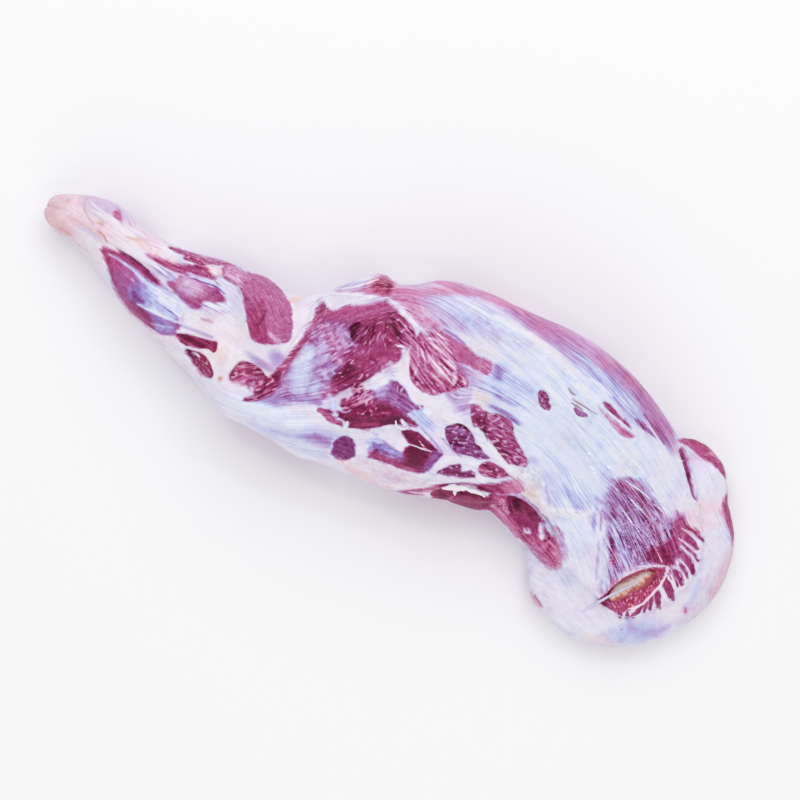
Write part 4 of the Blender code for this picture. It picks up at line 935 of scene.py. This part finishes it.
# Painted shade: dark lines in the partings between muscles and under a cut's lip
creaseShadeLines = [
    [(-196, -14.9, 0.2), (-186, -14.7, 0.4), (-176, -15.2, 0.2)],
    [(62, 13, 0.8), (64, 8, 1.2), (67, 3, 1.2), (72, -3, 0.8)],
    [(100, 52.5, 0.8), (103, 51, 1.4), (106, 50.8, 0.8)],
    [(105, 47.8, 0.8), (111, 47.5, 1.4), (124, 47, 0.6)],
    [(106, 45.2, 0.8), (110, 45.2, 1.4), (115, 45.2, 0.6)], [(96, 38.2, 1), (99, 38, 0.5)],
    [(107, -21.8, 0.5), (112, -22, 1), (117, -24, 0.5)],
    [(125, -25.5, 0.5), (130, -26.8, 0.9), (135, -30, 0.6)],
    [(100.5, -26, 0.6), (104, -31, 1), (110, -36, 0.7)],
    [(-131, -1.2, 0.5), (-128, -1.6, 0.9), (-125.5, -2.2, 0.5)],
    [(-131, 3.5, 0.5), (-118, 2.8, 0.8), (-108, -3.5, 0.6)], [(-22, 37, 0.6), (-16, 30, 1), (-9, 24, 0.7)],
    [(-25, 34, 0.5), (-21, 27, 0.9), (-19, 21, 0.6)], [(-30, 28, 0.5), (-27, 22, 0.8), (-24, 14, 0.6)],
    [(-22, 6, 0.5), (-15, 5, 0.8), (-9, 1, 0.5)], [(-72, -38, 0.5), (-70, -46, 1.2), (-73, -54, 0.6)],
    [(45, -9, 0.8), (49, -3.3, 1), (56, -2.6, 0.5)], [(206, -64.2, 0.8), (206.4, -64.4, 0.8)],
    [(193.5, 26, 0.5), (195, 26, 0.4)],
]


def ovalShare(places, x, y, length, width, turn):
    # 1 in the middle of an oval, falling softly to 0 a little past its border
    cos, sin = math.cos(math.radians(turn)), math.sin(math.radians(turn))
    u = (places[:, 0] - x) * cos + (places[:, 1] - y) * sin
    v = (places[:, 1] - y) * cos - (places[:, 0] - x) * sin
    return smoothStep(1.45 - 0.9 * np.hypot(2 * u / length, 2 * v / width))


def blend(name, near, value, share):
    # moves a layer towards a value, at some of the points and by a share at each
    layers[name][near] += (value - layers[name][near]) * share


# random fields that the marks' edges and the relief follow
fibreFine = latticeNoise(np.stack([across / 1.6, along / 12], axis=1), 3)
fibreBroad = latticeNoise(np.stack([across / 4, along / 30], axis=1), 5)
cloud = latticeNoise(points / 11, 8)
ragged = np.stack([latticeNoise(points / 2.6, seed) * 0.7 for seed in (9, 10)], axis=1)
facesUp = shown > 0.1

fallsOff = 14 * smoothStep((0.12 - lean) / 0.6)      # mm by which the windows end on the steep sides
wavy = (3.5 * cloud + 2.5 * ragged[:, 0]) * smoothStep((0.4 - lean) / 0.6)      # mm by which their ends waver
painted = smoothStep(lean / 0.45 + 0.7)              # strokes fade out down the sides
for veil, pink, streak, fray, more, outline in bareMuscle.values():
    near, depth = outlineDepth(plan, outline, 9)
    depth = np.where(facesUp[near], depth - fallsOff[near] + wavy[near], -9)
    for name, value in (("inVeil", veil), ("inPink", pink), ("inStreak", streak)):
        blend(name, near, value, smoothStep(depth / 3 + 1))
    for name in ("crag", "weave"):
        blend(name, near, more.get(name, 0), smoothStep(depth / 2 + 0.5))
    closer = depth > layers["edge"][near]
    layers["edge"][near[closer]] = depth[closer]
    layers["fray"][near[closer]] = fray
    layers["rise"][near] += more.get("rise", 0) * smoothStep(depth / 2.5 + 0.5)
print("muscle windows laid:", len(bareMuscle))

for change, *oval in washes:
    x, y, length, width, turn = oval
    near = np.flatnonzero(np.hypot(plan[:, 0] - x, plan[:, 1] - y) < max(length, width))
    wander = np.stack([cloud[near], fibreBroad[near]], axis=1) * min(length, width) * 0.08
    share = ovalShare(plan[near] + wander, *oval) * smoothStep(shown[near])
    for name, value in change.items():
        blend(name, near, value, share)
for change, *lines in strokes:
    for line in lines:
        wander = ragged * (1.0 if "edge" in change else 0.4)
        near, depth, half = strandDepth(plan + wander, line, 5)
        share = smoothStep(depth / (1.3 * half + 0.8) + 0.5) * painted[near]
        for name, value in change.items():
            if name == "edge":
                depth = np.where(facesUp[near], depth + 0.5 * (abs(value) - 1) - fallsOff[near], -9)
                choose = np.maximum if value > 0 else np.minimum
                layers["edge"][near] = choose(layers["edge"][near], depth * np.sign(value))
            elif name == "rise":
                layers["rise"][near] += share * value
            else:
                blend(name, near, value, share)
print("washes and strokes laid:", len(washes), len(strokes))

rise = layers.pop("rise")
lump = layers.pop("lump")
for name, lines, highest in (("threadAndGlint", sinewsAndGlints, 0.5), ("creaseShade", creaseShadeLines, -0.9)):
    for line in lines:
        near, depth, half = strandDepth(plan, line, 4)
        layers[name][near] = np.maximum(layers[name][near], np.where(facesUp[near], depth, -3))
        height = np.sqrt(np.clip(1 - ((half - depth) / (half + 0.6)) ** 2, 0, 1))
        rise[near] += height * highest * np.minimum(1, half + 0.3)

# the hidden underside: thin skin over muscle, with fat in clouds
under = 1 - smoothStep(shown)
cloudUnder = smoothStep(latticeNoise(points / 24, 12) * 0.8 + 0.5)
plate = smoothStep((points[:, 0] - 150) / 40)      # the blade's plate stays pale
for name, value in (("veil", 0.12 + 0.45 * cloudUnder * (1 - 0.75 * plate)), ("pink", 0.5), ("streak", 0.3)):
    blend(name, slice(None), value, under)
calm = 0.5 + 0.5 * smoothStep((lean + 0.2) / 0.5)
layers["streak"] *= calm
layers["inStreak"] *= calm
layers["wet"] = 0.25 + 0.75 * smoothStep(normals[:, 2] / 0.45 - 0.4)
layers["pink"] += cloud * 0.2

# relief: fibres, fat in soft lumps, cut edges, torn muscle and crinkled fat; sizes are mm
bare = smoothStep(layers["edge"] / 1.5 + 0.5)
grain = bare * (0.35 + 0.5 * layers["inStreak"]) + (1 - bare) * (0.12 + 0.5 * layers["streak"])
rise += fibreFine * 0.28 * grain + fibreBroad * 0.45 * grain
rise += latticeNoise(points / 8, 21) * 0.3 + latticeNoise(points / 3.4, 22) * 0.12
fat = (1 - bare) * smoothStep(1.2 - layers["veil"] * 4)
rise += fat * (latticeNoise(points / 5, 41) * 0.4 + latticeNoise(points / 2.4, 42) * 0.25)
rise += 0.5 * np.exp(-((layers["edge"] + 1.3) / 1.1) ** 2) * fat
layers["veil"] += np.clip(latticeNoise(points / 7, 43), 0, 1) * 0.1 * (1 - bare)
torn = np.abs(latticeNoise(points / 3.2, 31)) + 0.5 * np.abs(latticeNoise(points / 1.7, 32))
rise += layers["crag"] * (0.5 - torn) * 1.2
crinkled = np.abs(latticeNoise(points / 2.4, 51)) + 0.6 * np.abs(latticeNoise(points / 1.3, 52))
rise += lump * (0.75 - 1.5 * crinkled)
# painted shade: the crinkled fat greyed blue along its crinkles
layers["veil"] += lump * np.clip(0.5 - crinkled, 0, 1) * 0.4
rise -= bare * 0.45
rise -= layers["dark"] * 3.0

layers["along"], layers["across"] = along, across
for name, values in layers.items():
    addLayer(skin.data, name, values)


def setInputs(tree, node, inputs):
    # values and links, by place or by name
    for socket, value in (inputs if isinstance(inputs, dict) else dict(enumerate(inputs))).items():
        if isinstance(value, bpy.types.NodeSocket):
            tree.links.new(value, node.inputs[socket])
        else:
            node.inputs[socket].default_value = value


def addNode(tree, kind, inputs=(), output=0, stops=(), **settings):
    # one node with its settings and links; returns the output that is wanted of it
    node = tree.nodes.new("ShaderNode" + kind)
    for name, value in settings.items():
        setattr(node, name, value)
    setInputs(tree, node, inputs)
    for _ in stops[2:]:      # a ramp has two to begin with
        node.color_ramp.elements.new(1.0)
    for i, (position, hexColour) in enumerate(stops):
        node.color_ramp.elements[i].position = position
        node.color_ramp.elements[i].color = linear(hexColour)
    return node.outputs[output]


def newMaterial(name):
    material = bpy.data.materials.new(name)
    material.use_nodes = True
    return material, material.node_tree, material.node_tree.nodes["Principled BSDF"]


times, plus, timesPlus = (dict(operation=name) for name in ("MULTIPLY", "ADD", "MULTIPLY_ADD"))
meatLook = {
    # from white fat over thin skin to bare muscle, where it is blue and violet and where it is pink and red
    "blue": [(0.0, "#EFEFF9"), (0.15, "#DCE4F8"), (0.3, "#C4CCF0"), (0.45, "#ABA5DF"), (0.6, "#957AC2"),
             (0.75, "#834795"), (0.88, "#722462"), (1.0, "#4E0D3E")],
    "pink": [(0.0, "#F5EBF4"), (0.15, "#EDD4E7"), (0.3, "#E2B2D4"), (0.45, "#D58CB7"), (0.6, "#C36598"),
             (0.75, "#AA3C76"), (0.88, "#8B1D52"), (1.0, "#620A36")],
    "cream": [(0.0, "#F2E2D6"), (0.5, "#EBCFBF"), (1.0, "#E19A86")],
    "redTint": (1.25, 0.75, 0.42, 1),      # what warmth does to bare muscle
    "shadeTint": (0.3, 0.08, 0.16, 1),     # what is left of the colour in a crease
    # mm across and along the fibres, detail, curl
    "fine": (0.8, 9, 2.0, 0.0), "broad": (2.6, 26, 2.0, 0.0), "hair": (0.5, 24, 1.0, 0.0),
    "fleck": (0.7, 2.3, 0.0, 0.0),
    # mm any way, detail
    "mottle": (3.5, 3.0), "speck": (1.3, 1.0), "patch": (3.6, 5.0),
    # threads that branch and join, most of them along the fibres: the same, then how sharp and how wide
    "webs": [(2.2, 26, 1.0, 0.6, 20, 1.0), (1.1, 16, 0.0, 0.4, 9, 0.8), (14, 2.6, 1.0, 0.6, 24, 0.8)],
}


def meatMaterial(look):
    # raw lamb, skinned with a knife and torn by hand: silver skin and fat thin out over wet red muscle, with
    #  streaks along the fibres, a soft glow from below, small sharp glints on the film of water and more
    #  glints painted on where it is torn
    material, tree, shader = newMaterial("rawLambTornAndTrimmed")
    add = functools.partial(addNode, tree)
    value = {name: add("Attribute", output="Fac", attribute_name=name) for name in layers}
    place = add("TexCoord", output="Object")

    def noise(at, scale, detail, curl=0.0):
        return add("Math", [add("TexNoise", {"Vector": at, "Scale": scale, "Detail": detail,
                                             "Distortion": curl}), 0.5], operation="SUBTRACT")

    def fibreNoise(acrossSize, alongSize, detail, curl):
        x = add("Math", [value["across"], 1 / acrossSize], operation="MULTIPLY")
        y = add("Math", [value["along"], 1 / alongSize], operation="MULTIPLY")
        return noise(add("CombineXYZ", [x, y]), 1.0, detail, curl)

    def placeNoise(size, detail):
        return noise(place, 1 / (size * mm), detail)

    fine, broad, hair, fleck = (fibreNoise(*look[name]) for name in ("fine", "broad", "hair", "fleck"))
    mottle, speck, patch = (placeNoise(*look[name]) for name in ("mottle", "speck", "patch"))
    grain = add("Math", [fine, broad], **plus)
    threads = add("Math", [hair, 1.2, grain], **timesPlus)

    # the torn edge of each window
    torn = add("Math", [add("Math", [grain, value["fray"]], **times), 3.0, value["edge"]], **timesPlus)
    torn = add("Math", [mottle, 1.2, torn], **timesPlus)
    width = add("Math", [value["fray"], 1.3, 0.5], **timesPlus)
    bare = add("Math", [add("Math", [torn, width], operation="DIVIDE"), 0.5], use_clamp=True, **plus)

    # how much muscle shows, streaked along the fibres
    veils = []
    for streak, strength, name, blotch in (("streak", 1.7, "veil", 0.18), ("inStreak", -2.0, "inVeil", 0.3)):
        streaks = add("Math", [threads, value[streak]], **times)
        streaks = add("Math", [streaks, strength, value[name]], **timesPlus)
        veils.append(add("Math", [mottle, blotch, streaks], **timesPlus))
    outside, inside = veils
    inside = add("Math", [speck, 0.25, inside], **timesPlus)
    veil = add("Mix", {0: bare, 2: outside, 3: inside})

    # painted glints: pale flecks stand in for the glint of the wet film on torn muscle, and painted shade
    # darkens the pits between them
    gleam = add("Math", [mottle, 6.0, add("Math", [fleck, 13.0, -2.1], **timesPlus)], **timesPlus)
    gleam = add("Math", [value["crag"], gleam], use_clamp=True, **plus)
    gleam = add("Math", [gleam, add("Math", [value["crag"], 4.0], use_clamp=True, **times)], **times)
    pitShade = add("Math", [fleck, -9.0, -0.7], use_clamp=True, **timesPlus)
    veil = add("Math", [add("Math", [pitShade, value["crag"]], **times), 0.12, veil], **timesPlus)

    # patches of pale skin, and of painted sheen
    patch = add("Math", [fleck, 0.15, patch], **timesPlus)
    frost = add("Math", [value["frost"], 1.6, -0.45], **timesPlus)
    patch = add("Math", [patch, 3.6, frost], use_clamp=True, **timesPlus)
    patch = add("Math", [patch, add("Math", [value["frost"], 5.0], use_clamp=True, **times)], **times)

    web = 0.0
    for acrossSize, alongSize, detail, curl, sharp, wide in look["webs"]:
        strand = add("Math", [fibreNoise(acrossSize, alongSize, detail, curl)], operation="ABSOLUTE")
        strand = add("Math", [strand, -sharp, wide], use_clamp=True, **timesPlus)
        web = add("Math", [web, strand], operation="MAXIMUM")
    web = add("Math", [web, value["weave"]], **times)

    def lineShare(name, wander, strength, width):
        # where a sinew, a painted glint or a line of painted shade runs, its edges uneven
        line = add("Math", [wander, strength, value[name]], **timesPlus)
        return add("Math", [line, 1 / width, 0.5], use_clamp=True, **timesPlus)

    # what pales the muscle, painted glints among it: how much each covers, and the veil that it leaves
    threadAndGlint = lineShare("threadAndGlint", grain, 1.0, 0.5)
    for cover, share, left in ((gleam, 0.75, 0.24), (patch, 0.7, 0.2), (web, 0.9, 0.14), (threadAndGlint, 1.0, 0.04)):
        veil = add("Mix", {0: add("Math", [cover, share], **times), 2: veil, 3: left})

    pink = add("Mix", {0: bare, 2: value["pink"], 3: value["inPink"]})
    pink = add("Math", [mottle, 0.3, pink], use_clamp=True, **timesPlus)
    blueRoute, pinkRoute = (add("ValToRGB", [veil], stops=look[route]) for route in ("blue", "pink"))
    colour = add("MixRGB", [pink, blueRoute, pinkRoute])
    cream = add("ValToRGB", [value["warm"]], stops=look["cream"])
    red = add("MixRGB", [1.0, colour, look["redTint"]], blend_type="MULTIPLY")
    warmth = add("Math", [speck, 1.2, 0.8], **timesPlus)
    warmth = add("Math", [mottle, 2.2, warmth], use_clamp=True, **timesPlus)
    warmth = add("Math", [value["warm"], warmth], **times)
    colour = add("MixRGB", [warmth, colour, add("MixRGB", [bare, cream, red])])
    # painted shade: the crease lines and the dark of cuts darken the colour
    creaseShade = add("Math", [lineShare("creaseShade", fine, 0.8, 0.6), 0.7], **times)
    shade = add("Math", [creaseShade, add("Math", [value["dark"], 0.8], **times)], operation="MAXIMUM")
    deep = add("MixRGB", [1.0, colour, look["shadeTint"]], blend_type="MULTIPLY")

    height = add("Math", [grain, 0.5, add("Math", [speck, 0.3], **times)], **timesPlus)
    height = add("Math", [add("Math", [gleam, web], operation="MAXIMUM"), 0.4, height], **timesPlus)
    setInputs(tree, shader, {
        "Base Color": add("MixRGB", [shade, colour, deep]),
        "Normal": add("Bump", {"Height": height, "Strength": 0.6, "Distance": 0.0008}),
        "Roughness": 0.42, "IOR": 1.36, "Specular IOR Level": 0.16,
        "Subsurface Weight": 0.12, "Subsurface Radius": (1.0, 0.4, 0.35), "Subsurface Scale": 0.0015,
        "Coat Weight": add("Math", [value["wet"], 0.55], **times), "Coat Roughness": 0.08, "Coat IOR": 1.33})
    return material


shape = points + normals * (rise * smoothStep(shown))[:, None]
shape[:, 2] = np.clip(shape[:, 2], 0, None)
setMeshPoints(skin.data, shape)
skin.data.materials.clear()
skin.data.materials.append(meatMaterial(meatLook))
skin.data.shade_smooth()
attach(skin, "root")
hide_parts("meat", "blade_cartilage", "shank_knuckle")
print("skin dressed")

# The bone in the slit
boneLook = {
    "voxel": 0.6,          # mm
    "axis": ((190, -52), (208, -22)),      # mm, from end to end
    "halfLength": 16.0,
    "halfWidth": 8.3,
    "wider": 1.95,         # the bone goes on under the meat on both sides
    "shift": -1.4,         # mm towards the steep wall
    "top": 29.0,           # mm, what lies higher is rounded
    "stain": 2.5,          # mm
    # from the wall of the slit to its slope: blood-stained edges round moist cream bone
    "colours": [(0.0, "#9A3140"), (0.14, "#C07F84"), (0.26, "#D6C2C0"), (0.44, "#E2D4CF"), (0.52, "#DDBBAA"),
                (0.6, "#CE8574"), (0.68, "#B24A58"), (1.0, "#9A2C48")],
}


def boneMaterial(look):
    # moist bone scraped by the knife: pale, with a soft sheen
    material, tree, shader = newMaterial("scrapedMoistBone")
    add = functools.partial(addNode, tree)
    place = add("TexCoord", output="Object")
    stain = add("TexNoise", {"Vector": place, "Scale": 1 / (look["stain"] * mm), "Detail": 3.0})
    side = add("Attribute", output="Fac", attribute_name="side")
    at = add("Math", [stain, 0.5, side], operation="MULTIPLY_ADD")
    at = add("Math", [at, 0.25], operation="SUBTRACT")
    setInputs(tree, shader, {
        "Base Color": add("ValToRGB", [at], stops=look["colours"]),
        "Normal": add("Bump", {"Height": stain, "Strength": 0.4, "Distance": 0.0006}),
        "Roughness": 0.4, "IOR": 1.45, "Coat Weight": 0.3, "Coat Roughness": 0.12})
    return material


def boneShape(mesh, look):
    # wider, rounded on top and lower towards its ends, and how far each point lies from its middle line
    points = smoothed(meshPoints(mesh), meshEdges(mesh), 6)
    start, end = (np.array(point, float) for point in look["axis"])
    run = (end - start) / np.linalg.norm(end - start)
    across = np.array([run[1], -run[0]])
    side = (points[:, :2] - start) @ across
    tip = np.clip((points[:, :2] - (start + end) / 2) @ run / look["halfLength"], -1, 1)
    upperTip = np.clip(tip, 0, 1) ** 2
    wider = look["wider"] * (1 - 0.45 * upperTip)
    points[:, :2] += (side * (wider - 1) + look["shift"])[:, None] * across
    side = side * wider / look["halfWidth"]
    top = smoothStep((points[:, 2] - look["top"]) / 4)
    points[:, 2] += top * (1.2 - 3.0 * side**2 - 2.4 * tip**4 + latticeNoise(points / 3, 61) * 0.4)
    return points, side + 0.5 * upperTip


bone = grownTogether("bladeBone", {"blade_bone": 0.0}, boneLook["voxel"])
rounded, side = boneShape(bone.data, boneLook)
setMeshPoints(bone.data, rounded)
addLayer(bone.data, "side", side / 2 + 0.5)
bone.data.materials.clear()
bone.data.materials.append(boneMaterial(boneLook))
bone.data.shade_smooth()
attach(bone, "root")
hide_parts("blade_bone")
print("bone dressed")

# Torn strands of fat and skin that lie on the meat
tornStrands = {
    "step": 0.8,           # mm between the rings of each
    "sides": 12,
    # x, y, width along each; thickness and how high it stands, mm; how ragged; look
    "strands": [
        ([(61, -43.4, 1), (64, -41.6, 3), (67, -39, 3.6), (70, -38.4, 4.4), (74, -36, 3), (78, -35.4, 2.4),
          (81, -34.4, 3), (85, -34, 2), (88.5, -34.4, 1.2)], 1.4, 0.8, 0.45, onSkin(-0.1, warm=0.08)),
        ([(68, -38.6, 2), (70, -41.4, 2.4), (71, -43.4, 0.8)], 1.2, 0.7, 0.45, onSkin(-0.1, warm=0.08)),
        ([(-12, -36, 1), (-11.6, -39.5, 1.8), (-12.2, -43, 0.8)], 1.6, 0.9, 0.3, onSkin(0)),
        ([(14, -20.5, 0.6), (17, -23.4, 1.6), (21, -23.2, 1.4),
          (23.4, -20.6, 0.6)], 1.1, 0.6, 0.3, onSkin(0)),
        ([(29, -29.6, 0.4), (34, -28.4, 0.8), (39, -27.8, 0.8),
          (45, -26, 0.3)], 0.4, 0, 0.3, onSkin(0.16, 0.8)),
        ([(-9, 20.6, 0.6), (-7, 22, 1.4), (-4, 22.3, 1)], 0.8, 0.4, 0.3, onSkin(0)),
        ([(143, -72, 0.8), (148, -76, 1.8), (154, -78, 1)], 1.6, 0.3, 0.3, onSkin(0.34, 1, warm=0.2)),
    ],
    # a strip of thin skin that spans the slit, from its rim to the top of the bone
    "slitStrip": ([(178, -68, 0.6), (183, -59, 1.5), (190, -47, 1.5), (196, -38.5, 1.1), (200, -32.5, 0.4)],
                  0.5, 0.4, 0.1, onSkin(0.22, 0.1)),
    "boneTop": 36.4,       # mm
    "skin": {"edge": -9, "fray": 0.5, "threadAndGlint": -3, "creaseShade": -3, "streak": 0.05, "wet": 1, "veil": 0.02,
             "pink": 0.3},
    "seed": 70,
}


def skinHeight(place, reach=1.6):
    close = shape[(np.hypot(*(shapePlan - place).T) < reach) & (shown > 0.5), 2]
    return close.max() if len(close) else 0.0


def strandMesh(mesh, line, thick, lift, rough, spans, seed, settings):
    # a flattened tube, its width and thickness uneven; it lies on the meat or, from its highest point on,
    # spans to a given height
    path = smoothPath(line, closed=False, step=settings["step"])
    run = np.gradient(path[:, :2], axis=0)
    run /= np.linalg.norm(run, axis=1)[:, None]
    height = np.array([skinHeight(place) for place in path[:, :2]])
    if spans:
        rim = int(np.argmax(height))
        height[rim:] = np.linspace(height[rim], spans, len(path) - rim)
    else:
        height = np.convolve(np.pad(height, 2, mode="edge"), np.full(5, 0.2), "valid")
    middle = photoPlace(path[:, :2], height)
    sides = settings["sides"]
    angle = np.arange(sides) / sides * 2 * math.pi
    rings = []
    for i, width in enumerate(path[:, 2]):
        around = np.c_[np.full(sides, i / 2.2), np.cos(angle) * 1.6, np.sin(angle) * 1.6]
        uneven = 1 + rough * latticeNoise(around, seed)
        share = 0.15 if i in (0, len(path) - 1) else 1.0
        wide = width / 2 * np.cos(angle) * uneven * share
        tall = thick / 2 * np.sin(angle) * uneven * share * min(1, width / 1.5)
        x, y = middle[i, 0] - run[i, 1] * wide, middle[i, 1] + run[i, 0] * wide
        ring = np.c_[x, y, height[i] + lift + tall]
        rings.append([mesh.verts.new(point * mm) for point in ring])
    for a, b in zip(rings, rings[1:]):
        for k in range(sides):
            mesh.faces.new((a[k], a[(k + 1) % sides], b[(k + 1) % sides], b[k]))
    mesh.faces.new(rings[0][::-1])
    mesh.faces.new(rings[-1])
    return len(rings) * sides


def layStrands(settings):
    mesh = bmesh.new()
    looks = []
    rows = [(*strand, 0) for strand in settings["strands"]]
    rows.append((*settings["slitStrip"], settings["boneTop"]))
    for seed, (line, thick, lift, rough, look, spans) in enumerate(rows, settings["seed"]):
        count = strandMesh(mesh, line, thick, lift, rough, spans, seed, settings)
        looks += [{**settings["skin"], **look}] * count
    bmesh.ops.recalc_face_normals(mesh, faces=mesh.faces)
    piece = newPiece("tornStrands", mesh)
    for name in layers:
        addLayer(piece.data, name, [look.get(name, 0) for look in looks])
    print("torn strands laid:", len(rows))
    return piece


shapePlan = photoPlan(shape)
strandPiece = layStrands(tornStrands)
strandPiece.data.materials.append(skin.data.materials[0])
strandPiece.data.shade_smooth()
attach(strandPiece, "root")

# Table, light and camera
room = {
    "table": "#FCFCFD",
    "tableSize": 6,        # m
    "sky": 0.64,
    # place in m, size in m, watts; the small lamps only make glints
    "lights": {
        "windowLight": ((-0.5, 1.2, 1.5), 2.0, 14.0),
        "lowFill": ((0.5, -1.3, 0.8), 1.6, 5.0),
        "glintLeft": ((-0.9, 0.3, 1.2), 0.07, 0.6),
        "glintTop": ((0.3, 1.0, 1.3), 0.07, 0.7),
        "glintRight": ((0.8, -0.3, 1.4), 0.07, 0.6),
    },
}


def buildRoom(settings):
    bpy.ops.mesh.primitive_plane_add(size=settings["tableSize"], location=(0, 0, -0.2 * mm))
    table = bpy.context.object
    table.name = "table"
    # a laminate board with a matt face: white and without a glare
    material, tree, shader = newMaterial("paleMattLaminate")
    setInputs(tree, shader, {"Base Color": linear(settings["table"]), "Roughness": 0.9})
    table.data.materials.append(material)
    world = bpy.data.worlds.new("studio")
    world.use_nodes = True
    setInputs(world.node_tree, world.node_tree.nodes["Background"], [(1, 1, 1, 1), settings["sky"]])
    bpy.context.scene.world = world
    for name, (place, size, watts) in settings["lights"].items():
        data = bpy.data.lights.new(name, "AREA")
        data.size = size
        data.energy = watts
        lamp = bpy.data.objects.new(name, data)
        lamp.location = place
        bpy.context.scene.collection.objects.link(lamp)
        lamp.rotation_mode = "QUATERNION"
        lamp.rotation_quaternion = (Vector((0, 0, 0.03)) - Vector(place)).to_track_quat("-Z", "Y")


def buildCamera(settings):
    data = bpy.data.cameras.new("overhead")
    data.lens = settings["lens"]
    data.clip_start, data.clip_end = 0.05, 20
    made = bpy.data.objects.new("overhead", data)
    x, y = settings["foot"]
    made.location = (x * mm, y * mm, (settings["distance"] + settings["planeHeight"]) * mm)
    made.rotation_euler = (0, 0, math.radians(settings["turn"]))
    bpy.context.scene.collection.objects.link(made)
    bpy.context.scene.camera = made


buildRoom(room)
buildCamera(camera)
bpy.context.scene.view_settings.view_transform = "Standard"
print("room and camera set")
